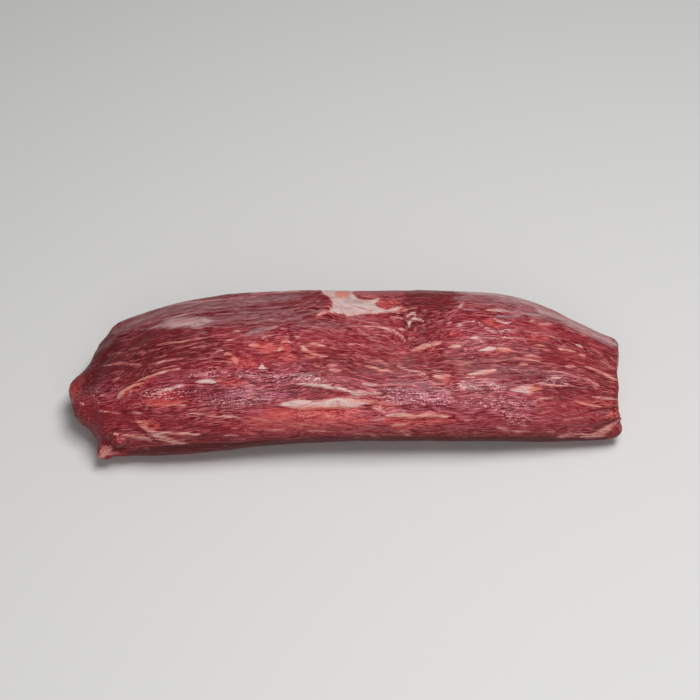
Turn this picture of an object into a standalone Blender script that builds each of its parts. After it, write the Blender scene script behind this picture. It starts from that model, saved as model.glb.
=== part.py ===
"""A raw teres major of beef: one whole trimmed shoulder muscle, lying flat on its broad side.

X runs along the muscle, from the tapered left end to the square cut at the right.
Y runs from the front edge to the back, and Z is up from the surface that it rests on.
"""

import math
from collections import namedtuple

import bmesh
import bpy
from mathutils import Vector, noise

# Driving dimensions, in metres
LENGTH = 0.2258
WIDTH = 0.0745
THICKNESS = 0.0420

# How finely the skin is divided: rings along the muscle and spokes round each of them
RINGS = 80
SPOKES = 72
LEFT_END_RINGS = 13
RIGHT_END_RINGS = 8
# How far, in radians, the spokes are drawn from the hidden underside to the crown
CROWN_CROWDING = 0.42

# Sections along the muscle. along is a share of LENGTH; front, back and crown_at are shares of WIDTH
# from the middle line; crown is a share of THICKNESS, and belly the widest line's share of the crown.
Section = namedtuple("Section", "along front back crown crown_at belly")
SECTIONS = (
    Section(0.000, -0.480, 0.240, 0.50, -0.105, 0.44),
    Section(0.050, -0.512, 0.478, 0.59, -0.090, 0.43),
    Section(0.080, -0.496, 0.472, 0.66, -0.075, 0.42),
    Section(0.110, -0.485, 0.458, 0.73, -0.060, 0.42),
    Section(0.170, -0.496, 0.486, 0.86, -0.040, 0.43),
    Section(0.270, -0.480, 0.536, 0.97, 0.020, 0.44),
    Section(0.360, -0.450, 0.544, 1.00, 0.060, 0.45),
    Section(0.520, -0.428, 0.532, 1.00, 0.100, 0.45),
    Section(0.740, -0.422, 0.540, 0.95, 0.100, 0.45),
    Section(0.820, -0.412, 0.508, 0.92, 0.060, 0.45),
    Section(0.890, -0.392, 0.436, 0.85, 0.000, 0.45),
    Section(0.960, -0.352, 0.287, 0.76, -0.060, 0.46),
    Section(1.000, -0.322, 0.226, 0.72, -0.090, 0.46),
)

# Exponents of the section's outline: 1 is an ellipse, and less is squarer
SIDE_ROUNDNESS = 0.84
CROWN_ROUNDNESS = 0.92
UNDER_ROUNDNESS = 0.70
# The underside would reach this far below the table, and the table presses it flat
UNDER_PRESS = 0.0022
# The height that the rings of an end close towards, as a share of the crown
CORE_HEIGHT = 0.60

# How each end closes: the size of a ring, as a share of its section, and how far in from the tip it lies
EndRing = namedtuple("EndRing", "size depth")
LEFT_END = (
    EndRing(0.00, 0.0000),
    EndRing(0.22, 0.0006),
    EndRing(0.36, 0.0030),
    EndRing(0.48, 0.0066),
    EndRing(0.62, 0.0098),
    EndRing(0.82, 0.0130),
    EndRing(0.95, 0.0168),
    EndRing(1.00, 0.0240),
)
RIGHT_END = (
    EndRing(0.00, 0.0003),
    EndRing(0.55, 0.0003),
    EndRing(0.90, 0.0004),
    EndRing(0.97, 0.0010),
    EndRing(1.00, 0.0034),
)
# The cut at the right end leans: metres along X for each metre across, and how far in it still shows
CUT_LEAN = 0.085
CUT_REACH = 0.030

# Relief. x is metres from the middle, and climb is metres up the slope that faces the front and the
# top in equal parts, from the front edge that the muscle lies on.
CLIMB_START = 0.0190
# A crease follows its points; a swelling with a negative rise is a hollow
Crease = namedtuple("Crease", "points reach depth")
Swelling = namedtuple("Swelling", "x climb half_length half_width rise")
# A spur draws an end out along X
Spur = namedtuple("Spur", "x climb reach half_width out")
CREASES = (
    # Above the front roll
    Crease(
        (
            (-0.0945, 0.0188),
            (-0.0874, 0.0238),
            (-0.0752, 0.0268),
            (-0.0606, 0.0297),
            (-0.0397, 0.0284),
            (-0.0209, 0.0234),
            (0.0105, 0.0192),
            (0.0397, 0.0150),
        ),
        0.0064,
        0.0008,
    ),
    # Between the two lobes of the crown
    Crease(
        ((0.0447, 0.0606), (0.0376, 0.0539), (0.0305, 0.0464), (0.0334, 0.0380), (0.0397, 0.0297)),
        0.0062,
        0.0016,
    ),
    # Above the roll at the right end
    Crease(((0.1170, 0.0125), (0.1066, 0.0121), (0.1003, 0.0100), (0.0899, 0.0088)), 0.0022, 0.0018),
    # Round the loose lump at the left end
    Crease(((-0.1037, 0.0004), (-0.1007, 0.0046), (-0.0940, 0.0054), (-0.0880, 0.0021)), 0.0022, 0.0016),
)
SWELLINGS = (
    # The dimple where the skin of the crown is drawn in
    Swelling(0.0284, 0.0497, 0.0078, 0.0060, -0.0030),
    # The bed of fat on the crown, and the lobe that overlaps its left side
    Swelling(0.0075, 0.0605, 0.0170, 0.0066, -0.0018),
    Swelling(-0.0150, 0.0590, 0.0110, 0.0075, 0.0012),
    # The right lobe of the crown, the front roll, and the flat above it
    Swelling(0.0650, 0.0464, 0.0340, 0.0140, 0.0010),
    Swelling(-0.0060, 0.0105, 0.0750, 0.0085, 0.0008),
    Swelling(-0.0300, 0.0400, 0.0350, 0.0090, -0.0007),
    # The roll at the right end
    Swelling(0.1090, 0.0056, 0.0130, 0.0050, 0.0014),
    # The loose lump at the left end
    Swelling(-0.0950, -0.0010, 0.0075, 0.0062, 0.0014),
    # The flat face between the tip and the body
    Swelling(-0.1062, 0.0240, 0.0066, 0.0125, 0.0034),
)
SPURS = (
    # The roll at the right end
    Spur(0.1140, 0.0062, 0.0160, 0.0066, 0.0038),
    # The tip, the corner behind it, and the tag of fat in front of it
    Spur(-0.1120, 0.0250, 0.0120, 0.0070, -0.0012),
    Spur(-0.1030, 0.0410, 0.0140, 0.0080, -0.0024),
    Spur(-0.1040, -0.0044, 0.0140, 0.0046, -0.0055),
)

# Bundles of fibres: the length, width and height of their swell, coarse and fine
Bundles = namedtuple("Bundles", "length width height")
BUNDLES = (Bundles(0.090, 0.0150, 0.0011), Bundles(0.045, 0.0070, 0.0006))
# The torn flesh of the left end: the size and height of its lumps, and how far in from the tip they reach
TORN_SIZE = 0.0065
TORN_HEIGHT = 0.0016
TORN_REACH = 0.0300
# How steeply a crease or a spur dies away, how square a swelling's edge is, and how far the relief of
# the front and the top carries on to where the skin turns away from them
BELL_STEEPNESS = 3.0
SWELLING_SQUARENESS = 1.5
FACING_CARRY = 0.4
# The step that a normal is measured over, in rings and in spokes
NORMAL_STEP = 0.25


def curve_through(rows, key, field, at):
    """The value of a field at a place among rows sorted by key, on a smooth curve through all of them."""
    keys = [getattr(row, key) for row in rows]
    values = [getattr(row, field) for row in rows]
    last = len(rows) - 1
    at = min(max(at, keys[0]), keys[last])
    left = max(i for i in range(last) if keys[i] <= at)
    span = keys[left + 1] - keys[left]
    share = (at - keys[left]) / span

    def slope(i):
        before, after = max(0, i - 1), min(last, i + 1)
        return (values[after] - values[before]) / (keys[after] - keys[before]) * span

    square, cube = share**2, share**3
    return (
        (2 * cube - 3 * square + 1) * values[left]
        + (cube - 2 * square + share) * slope(left)
        + (3 * square - 2 * cube) * values[left + 1]
        + (cube - square) * slope(left + 1)
    )


def power(value, exponent):
    """A number raised to a power with its sign kept."""
    return math.copysign(abs(value) ** exponent, value)


def section_point(along, turn):
    """(y, z) on the outline of the section at a share of the length. turn runs from 0 at the front edge,
    over the crown and the back, and on under the muscle to 1."""
    front, back, crown, crown_at, belly = (
        curve_through(SECTIONS, "along", field, along)
        for field in ("front", "back", "crown", "crown_at", "belly")
    )
    angle = 2.0 * math.pi * turn + CROWN_CROWDING * (math.cos(2.0 * math.pi * turn) - 1.0)
    across, up = math.cos(angle), math.sin(angle)
    edge = front if across > 0.0 else back
    y = crown_at + (edge - crown_at) * abs(power(across, SIDE_ROUNDNESS))
    top = crown * THICKNESS
    widest = belly * top
    if up > 0.0:
        return y * WIDTH, widest + (top - widest) * power(up, CROWN_ROUNDNESS)
    return y * WIDTH, widest + (widest + UNDER_PRESS) * power(up, UNDER_ROUNDNESS)


def ring_place(ring):
    """(x, along, size) of a ring: its place, the share of the length whose section it has, and its size."""
    if ring < LEFT_END_RINGS:
        size = math.sin(0.5 * math.pi * ring / LEFT_END_RINGS)
        depth = curve_through(LEFT_END, "size", "depth", size)
        return depth - LENGTH / 2, depth / LENGTH, size
    if ring > RINGS - RIGHT_END_RINGS:
        size = math.sin(0.5 * math.pi * (RINGS - ring) / RIGHT_END_RINGS)
        depth = curve_through(RIGHT_END, "size", "depth", size)
        return LENGTH / 2 - depth, 1.0 - depth / LENGTH, size
    start, end = LEFT_END[-1].depth, LENGTH - RIGHT_END[-1].depth
    x = start + (end - start) * (ring - LEFT_END_RINGS) / (RINGS - LEFT_END_RINGS - RIGHT_END_RINGS)
    return x - LENGTH / 2, x / LENGTH, 1.0


def bell(distance):
    """1 at no distance, falling smoothly to nearly 0 at 1."""
    return math.exp(-BELL_STEEPNESS * distance * distance)


def climb(point):
    """How far up the slope that faces the front and the top a point lies."""
    return (point.y + point.z) / math.sqrt(2.0) + CLIMB_START


def base_point(ring, spoke):
    """Where a point of the skin lies before its relief."""
    x, along, size = ring_place(ring)
    y, z = section_point(along, spoke / SPOKES)
    core_y = curve_through(SECTIONS, "along", "crown_at", along) * WIDTH
    core_z = curve_through(SECTIONS, "along", "crown", along) * THICKNESS * CORE_HEIGHT
    point = Vector((x, core_y + (y - core_y) * size, core_z + (z - core_z) * size))
    near_cut = 1.0 - min(1.0, (LENGTH / 2 - x) / CUT_REACH)
    point.x += CUT_LEAN * point.y * near_cut**2
    for spur in SPURS:
        near = bell((x - spur.x) / spur.reach) * bell((climb(point) - spur.climb) / spur.half_width)
        point.x += spur.out * near
    return point


def base_normal(ring, spoke):
    """The direction out of the muscle at a point of the skin."""
    if ring in (0, RINGS):
        return Vector((1.0 if ring else -1.0, 0.0, 0.0))
    along = base_point(ring + NORMAL_STEP, spoke) - base_point(ring - NORMAL_STEP, spoke)
    around = base_point(ring, spoke + NORMAL_STEP) - base_point(ring, spoke - NORMAL_STEP)
    return along.cross(around).normalized()


def crease_distance(crease, place):
    """How far a place of the slope is from the line of a crease."""
    nearest = math.inf
    for first, last in zip(crease.points, crease.points[1:]):
        start, run = Vector(first), Vector(last) - Vector(first)
        share = min(1.0, max(0.0, (place - start).dot(run) / run.length_squared))
        nearest = min(nearest, (place - start - run * share).length)
    return nearest


def slope_relief(point):
    """The height of the creases and swellings on the slope that faces the front and the top."""
    place = Vector((point.x, climb(point)))
    height = 0.0
    for crease in CREASES:
        height -= crease.depth * bell(crease_distance(crease, place) / crease.reach)
    for swelling in SWELLINGS:
        along = (place.x - swelling.x) / swelling.half_length
        across = (place.y - swelling.climb) / swelling.half_width
        height += swelling.rise * math.exp(-((along**2 + across**2) ** SWELLING_SQUARENESS))
    return height


def grain_relief(point):
    """The height of the bundles of fibres, and of the torn flesh at the left end."""
    height = 0.0
    for seed, bundles in enumerate(BUNDLES):
        place = (point.x / bundles.length, point.y / bundles.width, point.z / bundles.width + 10.0 * seed)
        height += bundles.height * noise.noise(Vector(place))
    torn = 1.0 - min(1.0, (point.x + LENGTH / 2) / TORN_REACH)
    return height + TORN_HEIGHT * torn * noise.noise(point / TORN_SIZE)


def skin_point(ring, spoke):
    """Where a point of the skin lies, with its relief and pressed flat by the table."""
    point, normal = base_point(ring, spoke), base_normal(ring, spoke)
    facing = max(0.0, (normal.z - normal.y) / math.sqrt(2.0))
    facing = facing**FACING_CARRY if facing else 0.0
    point += normal * (grain_relief(point) + facing * slope_relief(point))
    point.z = max(0.0, point.z)
    return point


def place_skin(mesh):
    """Moves a unit sphere's points, whose poles lie on Z, to the skin of the muscle."""
    for vertex in mesh.verts:
        ring = round(math.acos(max(-1.0, min(1.0, vertex.co.z))) / math.pi * RINGS)
        spoke = round(math.atan2(vertex.co.y, vertex.co.x) / (2.0 * math.pi) * SPOKES) % SPOKES
        vertex.co = skin_point(ring, spoke)


def centre(mesh):
    """Moves the muscle so that the origin is in the middle of its footprint, on the table."""
    x, y = ([vertex.co[axis] for vertex in mesh.verts] for axis in (0, 1))
    middle = Vector(((min(x) + max(x)) / 2, (min(y) + max(y)) / 2, 0.0))
    bmesh.ops.translate(mesh, vec=-middle, verts=mesh.verts)


def raw_beef():
    """The material: moist, dark red meat."""
    material = bpy.data.materials.new("raw_beef")
    material.use_nodes = True
    shader = material.node_tree.nodes["Principled BSDF"]
    shader.inputs["Base Color"].default_value = (0.27, 0.062, 0.068, 1.0)
    shader.inputs["Roughness"].default_value = 0.42
    shader.inputs["Metallic"].default_value = 0.0
    return material


def teres_major(collection):
    """The muscle, as one closed solid."""
    mesh = bmesh.new()
    bmesh.ops.create_uvsphere(mesh, u_segments=SPOKES, v_segments=RINGS, radius=1.0)
    place_skin(mesh)
    centre(mesh)
    data = bpy.data.meshes.new("teres_major")
    mesh.to_mesh(data)
    mesh.free()
    data.shade_smooth()
    data.materials.append(raw_beef())
    muscle = bpy.data.objects.new("teres_major", data)
    collection.objects.link(muscle)
    return muscle


def main():
    for leftover in list(bpy.data.objects):
        bpy.data.objects.remove(leftover)
    collection = bpy.data.collections.new("beef_teres_major")
    bpy.context.scene.collection.children.link(collection)
    teres_major(collection)


if __name__ == "__main__":
    main()
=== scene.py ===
"""The looks of a raw teres major of beef: one muscle with grain, marbling, seams of fat and silvery skin."""

import logging
import math
from collections.abc import Mapping, Sequence
from dataclasses import dataclass, field
from enum import Enum
from typing import Any

import bpy
import numpy as np
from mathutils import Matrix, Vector, noise

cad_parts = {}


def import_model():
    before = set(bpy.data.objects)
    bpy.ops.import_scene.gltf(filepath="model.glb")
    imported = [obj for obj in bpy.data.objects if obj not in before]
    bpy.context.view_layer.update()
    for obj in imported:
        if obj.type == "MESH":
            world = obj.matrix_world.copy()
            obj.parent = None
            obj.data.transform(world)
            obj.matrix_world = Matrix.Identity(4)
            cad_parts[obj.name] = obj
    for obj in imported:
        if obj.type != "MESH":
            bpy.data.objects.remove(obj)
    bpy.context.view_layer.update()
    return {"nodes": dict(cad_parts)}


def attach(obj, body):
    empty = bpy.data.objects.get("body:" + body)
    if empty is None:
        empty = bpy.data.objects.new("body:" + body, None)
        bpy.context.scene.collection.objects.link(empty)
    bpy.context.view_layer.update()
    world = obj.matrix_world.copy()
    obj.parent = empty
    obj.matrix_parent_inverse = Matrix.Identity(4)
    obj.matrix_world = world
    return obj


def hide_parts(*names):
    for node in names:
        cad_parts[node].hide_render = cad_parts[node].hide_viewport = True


LOG = logging.getLogger("teres_major")
NODE = "teres_major"
MM = 0.001
# The vertex group that says how much each point is evened out.
SOFT_GROUP = "soft"
# The share of the UV square that stays free at its edges.
UV_MARGIN = 0.004
# Pixels that are added to the distance of a point that does not show.
BEHIND = 99.0
# How wide the tips of a long stroke are, as a share of its middle.
FINEST_TIP = 0.35
# A stroke shorter than this many half widths has blunt tips.
TIP_LENGTHS = 1.6
# The exponent at which a bell falls to a half.
HALF_FALL = 0.69

Colour = tuple[float, float, float, float]
Point = tuple[float, float]


class Tissue(Enum):
    """What a stroke paints: the value is the name of the attribute on the mesh."""

    FAT = "fat"
    # Whiter fat; one stroke paints a white highlight on the left lump.
    WHITE = "white"
    # Silverskin; along the top-left rim it is partly painted sheen.
    SILVER = "silver"
    WARM = "warm"
    COOL = "cool"
    # Dark meat, and painted shade in creases, on the left shoulder, along the bottom edge and on the
    # underside.
    DARK = "dark"
    PALE = "pale"
    # Wet places; their pale specks are partly painted glints.
    WET = "wet"
    MARBLE = "marble"
    FILM = "film"
    CUT = "cut"


class Streak(Enum):
    """The noises along the grain: a streak's length and width in millimetres, and its finer octaves."""

    CALM = (24.0, 8.0, 2.0)
    BLOTCH = (9.0, 5.5, 2.0)
    BROAD = (28.0, 3.6, 3.0)
    MIDDLE = (13.0, 1.8, 2.0)
    FINE = (7.0, 0.78, 2.0)
    HAIR = (4.5, 0.40, 1.0)
    GRIT = (0.9, 0.62, 1.0)
    FLECK = (7.0, 1.2, 2.0)
    STRAND = (20.0, 2.4, 1.0)
    THREAD = (13.0, 1.5, 1.0)


def srgb(red: int, green: int, blue: int) -> Colour:
    """The linear colour of a screen colour.

    Args:
        red: Red, from 0 to 255.
        green: Green, from 0 to 255.
        blue: Blue, from 0 to 255.

    Returns:
        Red, green, blue and an alpha of 1.
    """
    shares = [channel / 255 for channel in (red, green, blue)]
    linear = [s / 12.92 if s <= 0.04045 else ((s + 0.055) / 1.055) ** 2.4 for s in shares]
    return (linear[0], linear[1], linear[2], 1.0)


def smooth_step(low: float, high: float, values: np.ndarray) -> np.ndarray:
    """0 below low, 1 above high and a smooth rise between them.

    Args:
        low: Where the rise starts.
        high: Where the rise ends.
        values: The numbers to map.

    Returns:
        The mapped numbers.
    """
    share = np.clip((values - low) / (high - low), 0.0, 1.0)
    return share * share * (3.0 - 2.0 * share)


class Wire:
    """The output of a shader node, on which Python's operators add Math nodes."""

    def __init__(self, graph: "Graph", socket: bpy.types.NodeSocket) -> None:
        """Keeps the socket and the graph that it belongs to."""
        self.graph = graph
        self.socket = socket

    def _math(self, operation: str, first: Any, second: Any) -> "Wire":
        """A Math node on two values."""
        return self.graph.node("ShaderNodeMath", {"operation": operation}, {0: first, 1: second})

    def __add__(self, value: Any) -> "Wire":
        """self + value."""
        return self._math("ADD", self, value)

    def __radd__(self, value: Any) -> "Wire":
        """value + self."""
        return self._math("ADD", value, self)

    def __sub__(self, value: Any) -> "Wire":
        """self - value."""
        return self._math("SUBTRACT", self, value)

    def __rsub__(self, value: Any) -> "Wire":
        """value - self."""
        return self._math("SUBTRACT", value, self)

    def __mul__(self, value: Any) -> "Wire":
        """self * value."""
        return self._math("MULTIPLY", self, value)

    def __rmul__(self, value: Any) -> "Wire":
        """value * self."""
        return self._math("MULTIPLY", value, self)

    def __abs__(self) -> "Wire":
        """The size of self, without its sign."""
        return self._math("ABSOLUTE", self, 0.0)


class Graph:
    """The nodes of one material."""

    def __init__(self, name: str) -> None:
        """Starts a material with an empty node tree.

        Args:
            name: The material's name.
        """
        self.material = bpy.data.materials.new(name)
        self.material.use_nodes = True
        self.tree = self.material.node_tree
        self.tree.nodes.clear()

    def node(
        self,
        kind: str,
        settings: Mapping[str, Any] | None = None,
        inputs: Mapping[int | str, Any] | None = None,
        output: int | str = 0,
    ) -> Wire:
        """Adds a node.

        Args:
            kind: The node's type.
            settings: Its properties, which are set first. stops holds a ramp's places and colours.
            inputs: A value or a wire for each socket, by name or number.
            output: The output that is returned.

        Returns:
            The output as a wire.
        """
        node = self.tree.nodes.new(kind)
        for key, value in (settings or {}).items():
            if key == "stops":
                self._set_stops(node.color_ramp, value)
            else:
                setattr(node, key, value)
        for key, value in (inputs or {}).items():
            if isinstance(value, Wire):
                self.tree.links.new(value.socket, node.inputs[key])
            else:
                node.inputs[key].default_value = value
        return Wire(self, node.outputs[output] if node.outputs else None)

    @staticmethod
    def _set_stops(ramp: bpy.types.ColorRamp, stops: Sequence[tuple[float, Colour]]) -> None:
        """Gives a ramp its stops.

        Args:
            ramp: The ramp.
            stops: The place and the colour of each, in order.
        """
        while len(ramp.elements) < len(stops):
            ramp.elements.new(1.0)
        for element, (place, colour) in zip(ramp.elements, stops):
            element.position = place
            element.color = colour

    def rise(self, value: Wire, low: float, high: float) -> Wire:
        """0 below low, 1 above high and a smooth rise between them."""
        ends = {"Value": value, "From Min": low, "From Max": high}
        return self.node("ShaderNodeMapRange", {"interpolation_type": "SMOOTHSTEP"}, ends)

    def blend(self, share: Any, low: Any, high: Any) -> Wire:
        """A colour between two colours."""
        sockets = {"Factor": share, 6: low, 7: high}
        return self.node("ShaderNodeMix", {"data_type": "RGBA"}, sockets, 2)

    def ramp(self, place: Wire, *stops: tuple[float, Colour]) -> Wire:
        """A colour out of a row of colours, by its place among them."""
        return self.node("ShaderNodeValToRGB", {"stops": stops}, {"Fac": place})


@dataclass(frozen=True)
class RawBeef:
    """The finish of the muscle: moist meat, fat, skin and wet places, each where it is painted."""

    deep: Colour = srgb(92, 19, 25)
    red: Colour = srgb(141, 42, 50)
    pink: Colour = srgb(188, 91, 100)
    deep_mauve: Colour = srgb(84, 22, 40)
    mauve: Colour = srgb(136, 54, 76)
    pale_mauve: Colour = srgb(190, 108, 126)
    # The gaps between the bundles, and also the deepest painted shade.
    gap: Colour = srgb(76, 14, 20)
    brown: Colour = srgb(80, 44, 44)
    deep_orange: Colour = srgb(116, 23, 27)
    orange: Colour = srgb(178, 52, 53)
    pale_orange: Colour = srgb(214, 108, 102)
    sinew: Colour = srgb(214, 146, 140)
    edge_fat: Colour = srgb(198, 108, 98)
    warm_fat: Colour = srgb(216, 128, 106)
    cream: Colour = srgb(218, 176, 164)
    white_fat: Colour = srgb(212, 188, 182)
    thin_skin: Colour = srgb(132, 78, 84)
    skin: Colour = srgb(164, 124, 126)
    thick_skin: Colour = srgb(202, 170, 167)
    # Pale specks, partly painted glints of light on the wet places.
    speck_and_glint_colour: Colour = srgb(238, 192, 192)
    grain_bump: float = 0.6
    wet_bump: float = 0.5
    bump_strength: float = 0.9
    roughness: float = 0.36
    coat: float = 0.04
    coat_roughness: float = 0.16
    specular: float = 0.12
    refraction: float = 1.42
    translucency: float = 0.06
    scatter: tuple[float, float, float] = (1.0, 0.3, 0.2)

    def build(self) -> bpy.types.Material:
        """Builds the material.

        Returns:
            The material, which reads the piece's painted attributes.
        """
        return BeefGraph(self).finished()


class BeefGraph(Graph):
    """The nodes of raw beef: shared noises and painted places, and a layer of colour from each method."""

    def __init__(self, look: RawBeef) -> None:
        """Adds the noises and the painted places that several layers share.

        Args:
            look: The colours and the other numbers of the finish.
        """
        super().__init__("raw_beef")
        self.look = look
        self.grain = self.node("ShaderNodeAttribute", {"attribute_name": "grain"}, output="Vector")
        self.blotch = self.streaks(Streak.BLOTCH)
        self.broad = self.streaks(Streak.BROAD)
        self.middle = self.streaks(Streak.MIDDLE)
        self.fine = self.streaks(Streak.FINE)
        self.hair = self.streaks(Streak.HAIR)
        self.grit = self.streaks(Streak.GRIT)
        self.dark = self.paint(Tissue.DARK)
        self.warm = self.paint(Tissue.WARM)
        self.wet = self.paint(Tissue.WET)
        self.cut = self.paint(Tissue.CUT)
        self.silver = self.paint(Tissue.SILVER)
        hazy = self.paint(Tissue.FILM) * 0.65
        calm = self.rise(self.streaks(Streak.CALM), 0.44, 0.6)
        self.clear = (1.0 - hazy - self.cut * 0.35) * (1.1 - calm * 0.5)

    def paint(self, tissue: Tissue) -> Wire:
        """How much of a tissue is painted at each place."""
        return self.node("ShaderNodeAttribute", {"attribute_name": tissue.value}, output="Fac")

    def streaks(self, streak: Streak) -> Wire:
        """Noise that is drawn out along the grain.

        Args:
            streak: Its size and its octaves.

        Returns:
            A number about 0.5.
        """
        length, width, detail = streak.value
        scale = (1.0 / length, 1.0 / width, 1.0 / width)
        stretched = self.node("ShaderNodeVectorMath", {"operation": "MULTIPLY"}, {0: self.grain, 1: scale})
        sockets = {"Vector": stretched, "Scale": 1.0, "Detail": detail, "Roughness": 0.55}
        return self.node("ShaderNodeTexNoise", None, sockets)

    def fibres(self) -> Wire:
        """The meat by its tone: red, mauve where it is cool and orange where it is warm.

        Returns:
            The colour.
        """
        look = self.look
        tone = (self.blotch - 0.5) * 0.26 + (self.broad - 0.5) * 0.3 + (self.middle - 0.5) * 0.3
        thin = (self.fine - 0.5) * 0.95 + (self.hair - 0.5) * 3.0
        tone = (tone + thin * (self.blotch * 1.6 + 0.2)) * self.clear + 0.5
        tone = tone + self.paint(Tissue.PALE) * 0.12 - self.dark * 0.2
        tone = tone + (self.grit - 0.5) * (self.wet + 0.45)
        meat = self.ramp(tone, (0.08, look.deep), (0.5, look.red), (0.95, look.pink))
        mauve = self.ramp(tone, (0.08, look.deep_mauve), (0.5, look.mauve), (0.95, look.pale_mauve))
        orange = self.ramp(tone, (0.05, look.deep_orange), (0.45, look.orange), (0.95, look.pale_orange))
        bundles = self.rise(self.middle + self.broad, 0.7, 1.15)
        meat = self.blend(self.paint(Tissue.COOL) * bundles * 0.75, meat, mauve)
        patchy = self.warm + (self.blotch - 0.5) * 1.2 + (self.broad - 0.5) * 1.2 + (self.fine - 0.5)
        warmth = self.rise(patchy, 0.15, 1.25) * self.rise(self.warm, 0.03, 0.3)
        return self.blend(warmth * 0.8, meat, orange)

    def gaps(self, meat: Wire) -> tuple[Wire, Wire]:
        """Dark gaps between the bundles, and the places that are painted dark: dark meat, and painted shade
        in creases, round the left lump, on the left shoulder and along the bottom edge.

        Args:
            meat: The colour below.

        Returns:
            The colour, and how deep the gaps are.
        """
        line = self.rise(1.0 - abs(self.streaks(Streak.STRAND) - 0.47) * 30.0, 0.0, 1.0)
        gaps = line * self.rise(self.blotch, 0.35, 0.6)
        meat = self.blend(gaps * self.clear * 0.12, meat, self.look.gap)
        meat = self.blend(self.rise(self.dark, 0.0, 1.0) * 0.26, meat, self.look.brown)
        # Dark painted above 1 goes towards the gap colour: painted shade along the bottom edge, under the
        # low wedge, on the left shoulder and round the left lump.
        return self.blend(self.rise(self.dark, 1.0, 2.0) * 0.7, meat, self.look.gap), gaps

    def threads(self, meat: Wire) -> tuple[Wire, Wire]:
        """Pale threads of sinew along the grain.

        Args:
            meat: The colour below.

        Returns:
            The colour, and where the threads are.
        """
        line = self.rise(1.0 - abs(self.streaks(Streak.THREAD) - 0.52) * 24.0, 0.0, 0.9)
        threads = line * self.rise(self.fine + self.broad, 0.8, 1.1)
        return self.blend(threads * self.clear * (0.5 - self.dark * 0.2), meat, self.look.sinew), threads

    def marbling(self, meat: Wire) -> Wire:
        """Fine marbling, more of it where it is painted."""
        flecks = self.streaks(Streak.FLECK) + (self.fine - 0.5) * 0.4 + self.paint(Tissue.MARBLE) * 0.05
        return self.blend(self.rise(flecks, 0.66, 0.84) * self.clear * 0.5, meat, self.look.cream)

    def bundles(self, meat: Wire) -> tuple[Wire, Wire]:
        """The walls round the bundles of fibres on the cut end.

        Args:
            meat: The colour below.

        Returns:
            The colour, and where the walls are.
        """
        sizes = {0: self.grain, 1: (0.0, 0.52, 0.40)}
        flat = self.node("ShaderNodeVectorMath", {"operation": "MULTIPLY"}, sizes)
        cells = {"Vector": flat, "Scale": 1.0}
        inside = self.node("ShaderNodeTexVoronoi", {"feature": "DISTANCE_TO_EDGE"}, cells)
        inside = inside + (self.grit - 0.5) * 0.5 + (self.blotch - 0.5) * 0.8
        walls = self.cut - self.cut * self.rise(inside, -0.05, 0.25)
        return self.blend(walls * 0.22, meat, self.look.sinew), walls

    def membrane(self, meat: Wire) -> tuple[Wire, Wire]:
        """The silvery skin, with a grey sheen painted along the top-left rim.

        Args:
            meat: The colour below.

        Returns:
            The colour, and where the skin is.
        """
        fibre = (self.middle - 0.5) * 1.0 + (self.fine - 0.5) * 1.5 + (self.hair - 0.5) * 0.8
        veil = self.rise(self.silver + fibre * 0.6, 0.1, 1.0) * self.rise(self.silver, 0.05, 0.3)
        tone = self.silver * 0.85 + fibre * 0.55
        stops = (0.25, self.look.thin_skin), (0.65, self.look.skin), (1.0, self.look.thick_skin)
        return self.blend(veil * 0.85, meat, self.ramp(tone, *stops)), veil

    def fat(self, meat: Wire) -> tuple[Wire, Wire]:
        """The fat with its ragged edge, and the pink beside it.

        Args:
            meat: The colour below.

        Returns:
            The colour, and where the fat is.
        """
        look = self.look
        paint = self.paint(Tissue.FAT)
        white = self.paint(Tissue.WHITE)
        ragged = paint + (self.fine - 0.5) * 1.2 + (self.hair - 0.5) * 1.5
        fat = self.rise(ragged, 0.2, 1.0) * self.rise(paint, 0.12, 0.75)
        tallow = self.blend(self.rise(white, 0.2, 0.8), look.cream, look.white_fat)
        body = ragged * 0.8 + (self.blotch - 0.5) * 1.2 + (self.middle - 0.5) * 0.9 + (self.grit - 0.5) * 0.8
        tallow = self.blend(self.rise(body + white * 0.2, 0.25, 1.15), look.edge_fat, tallow)
        skin = self.rise(self.silver + (self.blotch - 0.5) * 0.9 + (self.middle - 0.5) * 0.9, 0.1, 0.5)
        tallow = self.blend(skin * 0.45, tallow, look.skin)
        tallow = self.blend(self.rise(self.warm + (self.fine - 0.5), 0.2, 1.0) * 0.85, tallow, look.warm_fat)
        halo = self.rise(ragged, 0.10, 0.5) * self.rise(paint, 0.05, 0.3)
        return self.blend(fat * 0.9, self.blend(halo * 0.35, meat, look.pink), tallow), fat

    def specks_and_glints(self, meat: Wire) -> Wire:
        """Pale specks where the meat is wet, partly painted glints of light on the wet surface."""
        specks = self.rise(self.grit + (self.hair - 0.5) * 0.6 + self.wet * 0.05, 0.62, 0.76)
        return self.blend(self.rise(self.wet, 0.15, 0.8) * specks * 0.65, meat, self.look.speck_and_glint_colour)

    def bumps(self, gaps: Wire, threads: Wire, walls: Wire, veil: Wire, fat: Wire) -> Wire:
        """The relief of the fibres and of the layers over them, and the lumps of the wet places.

        Args:
            gaps: How deep the gaps are.
            threads: Where the threads are.
            walls: Where the walls round the bundles are.
            veil: Where the skin is.
            fat: Where the fat is.

        Returns:
            The normal.
        """
        height = (self.middle - 0.5) * 0.4 + (self.fine - 0.5) * 0.3 + (self.hair - 0.5) * 0.1
        height = (height - gaps * 0.1 + threads * 0.05) * self.clear
        height = height + fat * 0.2 + veil * 0.1 - walls * 0.12
        strength = {"Strength": self.look.bump_strength}
        depth = {"Distance": self.look.grain_bump * MM, "Height": height}
        fibres = self.node("ShaderNodeBump", None, strength | depth)
        lumps = self.grit * (self.wet * 0.6 + 0.03)
        depth = {"Distance": self.look.wet_bump * MM, "Height": lumps, "Normal": fibres}
        return self.node("ShaderNodeBump", None, strength | depth)

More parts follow.
